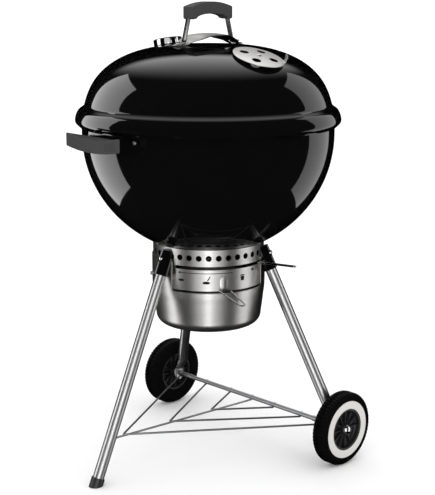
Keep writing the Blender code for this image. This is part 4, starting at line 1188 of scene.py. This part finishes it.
@dataclass
class Stand:
    """The three legs, the foot, the axle and the wire rack."""

    leg_radius: float = 0.0127
    top_reach: float = 0.144
    top_z: float = 0.456
    foot_reach: float = 0.3455
    bend_z: float = 0.128
    axle_x: float = 0.1435
    axle_z: float = 0.0853
    axle_radius: float = 0.0052
    end_y: float = 0.262
    wire: float = 0.0023

    def slope(self) -> float:
        """How far a leg runs out for each metre that it falls."""
        return (self.foot_reach - self.top_reach) / self.top_z

    def build(self) -> None:
        """Makes everything below the ash catcher but the wheels."""
        top = polar(self.top_reach, math.pi, self.top_z)
        foot = Vector((-self.foot_reach, 0, 0))
        whole = (top - foot).length
        place = pointing(top, foot)
        leg = rod("foot_tube", [(0, 0, 0), (0, 0, whole - 0.009)], self.leg_radius, fine=10)
        hand_over(leg, LEG_TUBE, "frame", "foot_leg", place=place)
        profile = [
            (0.0131, whole - 0.018), (0.0146, whole - 0.018), (0.0150, whole - 0.0165),
            (0.0150, whole + 0.02), (0.0131, whole + 0.02)
        ]
        cap = turned(
            "foot_end", [(0, whole - 0.0085), (0.0131, whole - 0.0085)] + profile[:4] + [(0, whole + 0.02)],
            48
        )
        settle(cap, AXIS @ place)
        edit(cap)
        bpy.ops.mesh.bisect(plane_co=(0, 0, 0), plane_no=(0, 0, 1), use_fill=True, clear_inner=True)
        close_edit()
        hand_over(cap, DARK_NYLON, "frame", "foot_cap", place=AXIS.inverted())
        self.build_wheel_legs()
        self.build_axle()
        self.build_rack()

    def build_wheel_legs(self) -> None:
        """The two tubes whose ends are pressed flat round the axle."""
        for name, side in (("front", -1), ("back", 1)):
            bearing = side * math.radians(60)
            top = polar(self.top_reach, bearing, self.top_z)
            bend = polar(self.foot_reach - self.slope() * self.bend_z, bearing, self.bend_z)
            across = Vector((0, side, 0))
            level = Vector((1, 0, 0))
            down = (bend - top).normalized()
            wide = (level - down.x * down).normalized()
            thin = down.cross(wide)
            thin = thin if thin.dot(across) > 0 else -thin
            radius = self.leg_radius
            stations = [
                (*bend, radius, radius),
                (bend.x, side * (self.end_y - 0.0055), self.bend_z - 0.019, 0.0152, 0.0066)
            ]
            for rise, half in (
                (0.0135, 0.0163), (0.0, 0.0168), (-0.0095, 0.0145), (-0.014, 0.0110), (-0.016, 0.0070)
            ):
                stations.append((self.axle_x, side * self.end_y, self.axle_z + rise, half, 0.0036))
            turns = spread(0, 2 * math.pi, 41)[:-1]
            rings = [[top + wide * radius * math.cos(t) + thin * radius * math.sin(t) for t in turns]]
            finer = smoothed(stations, 6)
            for number, (x, y, z, half, thick) in enumerate(finer):
                share = min(number / 6, 1.0)
                w = wide.lerp(level, share)
                n = thin.lerp(across, share)
                rings.append(
                    [Vector((x, y, z)) + w * half * math.cos(t) + n * thick * math.sin(t) for t in turns]
                )
            tube = skinned(f"wheel_tube_{name}", rings, wrap=True)
            place = pointing((self.axle_x, 0, self.axle_z), (self.axle_x, 1, self.axle_z), (0, 0, 1))
            cut(
                tube,
                peg(
                    "eye", self.axle_radius + 0.0003, -0.4 if side < 0 else 0.2, -0.2 if side < 0 else 0.4,
                    place
                )
            )
            hand_over(tube, LEG_TUBE, "frame", f"wheel_leg_{name}", angle=45)

    def build_axle(self) -> None:
        """The axle and its two tapered sleeves."""
        reach = 0.272 + 0.0387 - 0.0018
        place = pointing((self.axle_x, 0, self.axle_z), (self.axle_x, 1, self.axle_z), (0, 0, 1))
        bar = [(0, reach), (self.axle_radius - 0.0005, reach), (self.axle_radius, reach - 0.0005)]
        bar += [(self.axle_radius, -reach + 0.0005), (self.axle_radius - 0.0005, -reach), (0, -reach)]
        hand_over(turned("axle_bar", bar, 32), PLATED, "frame", "axle", place=place)
        for name, side in (("front", -1), ("back", 1)):
            bore = self.axle_radius + 0.0003
            start = Vector((self.axle_x, side * 0.205, self.axle_z))
            profile = [
                (bore, 0.052), (0.0070, 0.052), (0.0076, 0.0512), (0.0076, 0.044), (0.0070, 0.036),
                (0.0062, 0.0), (bore, 0.0)
            ]
            sleeve = turned(f"axle_ferrule_{name}", profile, 32, closed=True)
            hand_over(
                sleeve, PLATED, "frame", f"axle_sleeve_{name}",
                place=pointing(start, start + Vector((0, side, 0)), (0, 0, 1))
            )

    def build_rack(self) -> None:
        """The wire rack: a spine and three pairs of arms."""
        under = self.axle_radius + self.wire + 0.0003
        leg_z = 0.0965
        slope = math.atan(self.slope())
        leg_x = -(self.foot_reach - self.slope() * leg_z) + self.leg_radius / math.cos(slope) - 0.006
        turns = spread(-math.pi / 2, math.radians(20), 9)
        hook = [(self.axle_x + under * math.cos(a), self.axle_z + under * math.sin(a)) for a in turns]
        wires = [rod("spine", [(leg_x, 0, leg_z)] + [(x, 0, z) for x, z in hook], self.wire)]
        butt = [(self.axle_x - 0.0076 - self.wire - 0.0003, self.axle_z - 0.001)]
        for apex_x, end_y, end in ((-0.266, 0.246, butt), (-0.126, 0.163, hook), (0.008, 0.075, hook)):
            share = (apex_x - leg_x) / (self.axle_x - leg_x)
            apex_z = leg_z + (hook[0][1] - leg_z) * share + 0.0032
            right = [(x, -end_y, z) for x, z in reversed(end)]
            left = [(x, end_y, z) for x, z in end]
            way = right + [(apex_x, 0, apex_z)] + left
            middle = len(right)
            bend = rounded(way[middle - 1 : middle + 2], 0.006, 5)
            wires.append(rod("arms", way[: middle - 1] + bend + way[middle + 2 :], self.wire))
        hand_over(joined("rack_wires", wires), PLATED, "frame", "storage_rack")


@dataclass
class Wheel:
    """One wheel: a ribbed tyre, its white ring, a ribbed hub and a bright cap."""

    name: str
    side: int
    radius: float = 0.0853
    width: float = 0.0387
    inner_y: float = 0.272
    axle_x: float = 0.1435
    bore: float = 0.048
    ring_radius: float = 0.067
    teeth: int = 60

    def build(self) -> None:
        """Makes the wheel's four pieces."""
        centre = Vector((self.axle_x, self.side * (self.inner_y + self.width / 2), self.radius))
        place = pointing(centre, centre + Vector((0, self.side, 0)), (0, 0, 1))
        body = f"wheel_{self.name}"
        hand_over(self.tyre(), RUBBER, body, f"tyre_{self.name}", place=place, angle=30)
        half = self.width / 2
        ring = [
            (self.ring_radius, half - 0.0012), (self.ring_radius - 0.0006, half - 0.0004),
            (self.ring_radius - 0.003, half)
        ]
        ring += [
            (self.bore + 0.003, half), (self.bore + 0.0012, half - 0.0004),
            (self.bore + 0.0008, half - 0.0012)
        ]
        hand_over(
            turned(f"white_ring_{self.name}", ring, 96, closed=True), WHITE_RING, body,
            f"whitewall_{self.name}", place=place
        )
        hand_over(self.hub(), DARK_NYLON, body, f"wheel_hub_{self.name}", place=place)
        low = half - 0.0012
        dome = [
            (0, low + 0.008), (0.0035, low + 0.0077), (0.0065, low + 0.0068), (0.0090, low + 0.0052),
            (0.0108, low + 0.003), (0.0118, low), (0, low)
        ]
        hand_over(turned(f"cap_{self.name}", dome, 48), CHROME, body, f"hub_cap_{self.name}", place=place)

    def tyre(self) -> bpy.types.Object:
        """The tyre, with grooves across its tread."""
        half = self.width / 2
        outside = [
            (self.bore, half - 0.0015), (0.0672, half - 0.0015), (0.0684, half - 0.0006),
            (0.0720, half - 0.0003)
        ]
        outside += [
            (0.0760, half - 0.0010), (0.0795, half - 0.0024), (0.0825, half - 0.0045),
            (0.0845, half - 0.0072)
        ]
        tread = [
            (self.radius, half - 0.0100), (self.radius, half - 0.0155),
            (self.radius - 0.0016, half - 0.0165)
        ]
        tread += [(self.radius - 0.0016, half - 0.0185), (self.radius, half - 0.0193)]
        outside += tread
        inside = [(r, -z) for r, z in reversed(outside)]
        obj = turned(f"tyre_body_{self.name}", outside + inside[1:], 3 * self.teeth, closed=True)

        def groove(p: Vector) -> Vector:
            """Lowers every third row of the tread."""
            reach = math.hypot(p.x, p.y)
            row = round(math.atan2(p.y, p.x) / (2 * math.pi / (3 * self.teeth)))
            depth = 0.0017 * max(min((reach - 0.0780) / 0.004, 1), 0)
            if row % 3 or not depth:
                return p
            return Vector((p.x * (reach - depth) / reach, p.y * (reach - depth) / reach, p.z))

        return reshape(obj, groove)

    def hub(self) -> bpy.types.Object:
        """The hub: rim, dished web, boss and ribs on both faces."""
        half = self.width / 2
        rim = self.bore - 0.0003
        bore = 0.0055
        shell = [
            (bore, half - 0.0015), (
                0.0110, half - 0.0015
            ), (0.0125, half - 0.003), (0.0130, 0.004), (rim - 0.006, 0.0055),
            (rim - 0.0035, 0.008), (rim - 0.003, half - 0.002), (rim, half - 0.002), (rim, -half + 0.003), (
                rim - 0.003, -half + 0.003
            ),
            (rim - 0.004, 0.004), (0.0130, 0.0), (0.0125, -half - 0.003), (bore, -half - 0.003),
        ]
        pieces = [turned("hub", shell, 64, closed=True)]
        for index in range(12):
            turn = turn_z(math.radians(30 * index))
            mid = (0.012 + rim - 0.003) / 2
            length = rim - 0.003 - 0.012 + 0.002
            outer = turn @ Matrix.Translation((mid, 0, 0.0085))
            inner = turn @ Matrix.Translation((mid, 0, -0.0065))
            pieces.append(block("rib", (length, 0.0016, 0.009), outer, 0.0004))
            pieces.append(block("rib", (length, 0.0016, 0.013), inner, 0.0004))
        return joined(f"hub_body_{self.name}", pieces)


@dataclass
class SocketBolts:
    """The bolts through the leg sockets."""

    collar_radius: float = 0.1288
    z: float = 0.4835

    def build(self) -> None:
        """Makes the three bolts."""
        for index, bearing in ((1, math.pi), (2, -math.radians(60)), (3, math.radians(60))):
            place = pointing(
                polar(self.collar_radius, bearing, self.z), polar(0.2, bearing, self.z), (0, 0, 1)
            )
            head = [
                (0, 0.0232), (0.0030, 0.0229), (0.0050, 0.0218), (0.0060, 0.0200), (0.0060, 0.0179),
                (0.003, 0.0179)
            ]
            bolt = turned(f"leg_bolt_{index}", head + [(0.003, 0.0007), (0, 0.0007)], 32)
            hand_over(bolt, CHROME, "frame", f"socket_bolt_{index}", place=place)


def dress_solids() -> None:
    """Gives the solids that stay their finishes."""
    kept = {
        "leg_socket_1": ENAMEL, "leg_socket_2": ENAMEL, "leg_socket_3": ENAMEL,
        "grate_tab_1": PLATED, "grate_tab_2": PLATED, "grate_tab_3": PLATED, "lid_hook": PLATED,
        "thermometer_needle": NEEDLE, "thermometer_stem": PLATED, "thermometer_nut": PLATED,
        "sweeper_blades": PRESSED, "cooking_grate": PLATED, "grate_flap_left": PLATED,
        "grate_flap_right": PLATED, "coal_grate": PLATED,
    }
    for name, finish in kept.items():
        obj = frame["nodes"][name]
        if obj.material_slots:
            for slot in obj.material_slots:
                slot.material = finish.material()
        else:
            obj.data.materials.append(finish.material())
        log.info("%s keeps its solid in %s", name, finish.name)


# ------------------------------------------------------------------ the studio


@dataclass
class Studio:
    """A white sweep round the grill, the lights and the camera."""

    camera_at: Point3 = (-1.8099, -1.8940, 1.0595)
    camera_aim: Point3 = (0.0151, -0.0144, 0.4864)
    lens_mm: float = 83.9
    mirrored: float = 0.0
    overhead: float = 2.0

    def build(self) -> None:
        """Sets the floor, the surroundings, the lights and the camera."""
        bpy.context.scene.view_settings.view_transform = "Standard"
        self.build_floor()
        self.build_surroundings()
        self.build_lights()
        self.build_camera()

    def build_floor(self) -> None:
        """A pale floor that the enamel doesn't mirror."""
        deselect()
        bpy.ops.mesh.primitive_plane_add(size=14, location=(0, 0, -0.0002))
        floor = bpy.context.active_object
        floor.name = "studio_floor"
        paint = bpy.data.materials.new("floor_paint")
        paint.use_nodes = True
        shader = paint.node_tree.nodes["Principled BSDF"]
        shader.inputs["Base Color"].default_value = (0.96, 0.96, 0.96, 1)
        shader.inputs["Roughness"].default_value = 0.9
        shader.inputs["Specular IOR Level"].default_value = 0.0
        floor.data.materials.append(paint)
        floor.visible_glossy = False
        floor.visible_shadow = False

    def build_surroundings(self) -> None:
        """White to look at, even soft light, and a ring of brightness for gloss to mirror."""
        world = bpy.data.worlds.new("white_sweep")
        bpy.context.scene.world = world
        world.use_nodes = True
        world.cycles.sampling_method = "NONE"
        tree = world.node_tree
        tree.nodes.clear()
        toward = (Vector(self.camera_at) - Vector((0, 0, 0.85))).normalized()
        way = add_node(tree, "ShaderNodeTexCoord").outputs["Generated"]
        halfway = add_node(tree, "ShaderNodeVectorMath", {"operation": "ADD", 1: toward}, {0: way})
        facing = add_node(
            tree, "ShaderNodeVectorMath", {"operation": "NORMALIZE"}, {0: halfway.outputs["Vector"]}
        )
        seen = add_node(
            tree, "ShaderNodeVectorMath", {"operation": "DOT_PRODUCT", 1: toward},
            {0: facing.outputs["Vector"]}
        )
        edge = add_node(
            tree,
            "ShaderNodeMapRange",
            {"From Min": 0.33, "From Max": 0.42, "interpolation_type": "SMOOTHSTEP"},
            {"Value": seen.outputs["Value"]},
        )
        height = add_node(
            tree, "ShaderNodeSeparateXYZ", None, {"Vector": facing.outputs["Vector"]}
        ).outputs["Z"]
        overhead = add_node(
            tree,
            "ShaderNodeMapRange",
            {
                "From Min": 0.66,
                "From Max": 0.95,
                "To Min": self.mirrored,
                "To Max": self.overhead,
                "interpolation_type": "SMOOTHSTEP",
            },
            {"Value": height},
        )
        strength = add_node(
            tree,
            "ShaderNodeMath",
            {"operation": "MULTIPLY"},
            {0: edge.outputs["Result"], 1: overhead.outputs["Result"]},
        )
        path = add_node(tree, "ShaderNodeLightPath")
        gloss = add_node(
            tree, "ShaderNodeBackground", {"Color": (1, 1, 1, 1)}, {"Strength": strength.outputs["Value"]}
        )
        plain = add_node(tree, "ShaderNodeBackground", {"Color": (1, 1, 1, 1), "Strength": 1.27})
        chosen = add_node(
            tree, "ShaderNodeMixShader", None,
            {
                0: path.outputs["Is Glossy Ray"], 1: plain.outputs["Background"],
                2: gloss.outputs["Background"]
            },
        )
        add_node(tree, "ShaderNodeOutputWorld", None, {"Surface": chosen.outputs["Shader"]})

    def gather(self, name: str, finishes: set[str]) -> bpy.types.Collection:
        """A collection of every piece that has one of these finishes."""
        found = bpy.data.collections.new(name)
        for obj in bpy.data.objects:
            if obj.type == "MESH" and any(
                s.material and s.material.name in finishes for s in obj.material_slots
            ):
                found.objects.link(obj)
        return found

    def panel(
        self,
        name: str,
        at: Point3,
        size: Point2,
        radiance: float,
        only: bpy.types.Collection,
        aim: Point3 = (0, 0, 0.7),
    ) -> None:
        """One soft panel of light.

        Args:
            name: The light's name.
            at: Where it stands, from the kettle's axis.
            size: Its width and height in metres.
            radiance: How bright its face is.
            only: The pieces that it lights.
            aim: What it faces.
        """
        data = bpy.data.lights.new(name, "AREA")
        data.shape = "RECTANGLE"
        data.size, data.size_y = size
        data.energy = radiance * math.pi * size[0] * size[1]
        light = bpy.data.objects.new(name, data)
        bpy.context.scene.collection.objects.link(light)
        look = (Vector(aim) - Vector(at)).to_track_quat("-Z", "Y").to_matrix().to_4x4()
        light.matrix_world = AXIS @ Matrix.Translation(at) @ look
        light.visible_camera = False
        light.light_linking.receiver_collection = only

    def build_lights(self) -> None:
        """Soft panels round the camera for the bare metals, and the ones that the enamel mirrors."""
        metals = self.gather("bare_metals", METAL_NAMES | {DARK_NYLON.name})
        glazed = self.gather("enamelled", {ENAMEL.name})
        front = Vector((-0.69, -0.72, 0.0))
        right = Vector((0.72, -0.69, 0.0))
        up = Vector((0, 0, 1))
        level = (0, 0, 0.4)
        self.panel("front_panel", front * 2.6 + up * 0.4, (3.0, 3.6), 0.85, metals, level)
        self.panel("front_strip", front * 2.4 + up * 0.2, (0.42, 3.0), 2.9, metals, level)
        self.panel("left_panel", right * -2.4 + front * 0.4 + up * 0.4, (1.3, 3.2), 1.9, metals, level)
        self.panel("right_panel", right * 2.4 + front * 0.4 + up * 0.4, (1.3, 3.2), 1.4, metals, level)
        self.panel("back_panel", front * -2.8 + up * 1.9, (2.8, 2.0), 0.45, metals)
        level = (0, 0, 1.0)
        self.panel("left_glow", right * -2.7 - front * 0.95 + up * 1.0, (2.3, 5.0), 2.7, glazed, level)
        self.panel("right_glow", right * 2.6 - front * 1.25 + up * 1.0, (1.9, 5.0), 1.2, glazed, level)

    def build_camera(self) -> None:
        """The camera, level with the handles and looking slightly down."""
        data = bpy.data.cameras.new("studio_camera")
        data.lens = self.lens_mm
        data.sensor_width = 36.0
        data.sensor_fit = "AUTO"
        data.clip_start = 0.05
        camera = bpy.data.objects.new("studio_camera", data)
        bpy.context.scene.collection.objects.link(camera)
        aim = Vector(self.camera_aim) - Vector(self.camera_at)
        camera.matrix_world = AXIS @ Matrix.Translation(
            self.camera_at
        ) @ aim.to_track_quat("-Z", "Y").to_matrix().to_4x4()
        bpy.context.scene.camera = camera


def main() -> None:
    """Builds every sub-assembly, then the studio."""
    logging.basicConfig(level=logging.INFO, format="%(message)s")
    lid = Lid()
    lid.build()
    LidHandle(lid).build()
    Damper(lid).build()
    Thermometer(lid).build()
    Bowl().build()
    SideHandle("left", math.pi).build()
    SideHandle("right", 0.0).build()
    AshCollar().build()
    AshBucket().build()
    AshLever().build()
    Stand().build()
    SocketBolts().build()
    Wheel("front", -1).build()
    Wheel("back", 1).build()
    dress_solids()
    Studio().build()


if __name__ == "__main__":
    main()
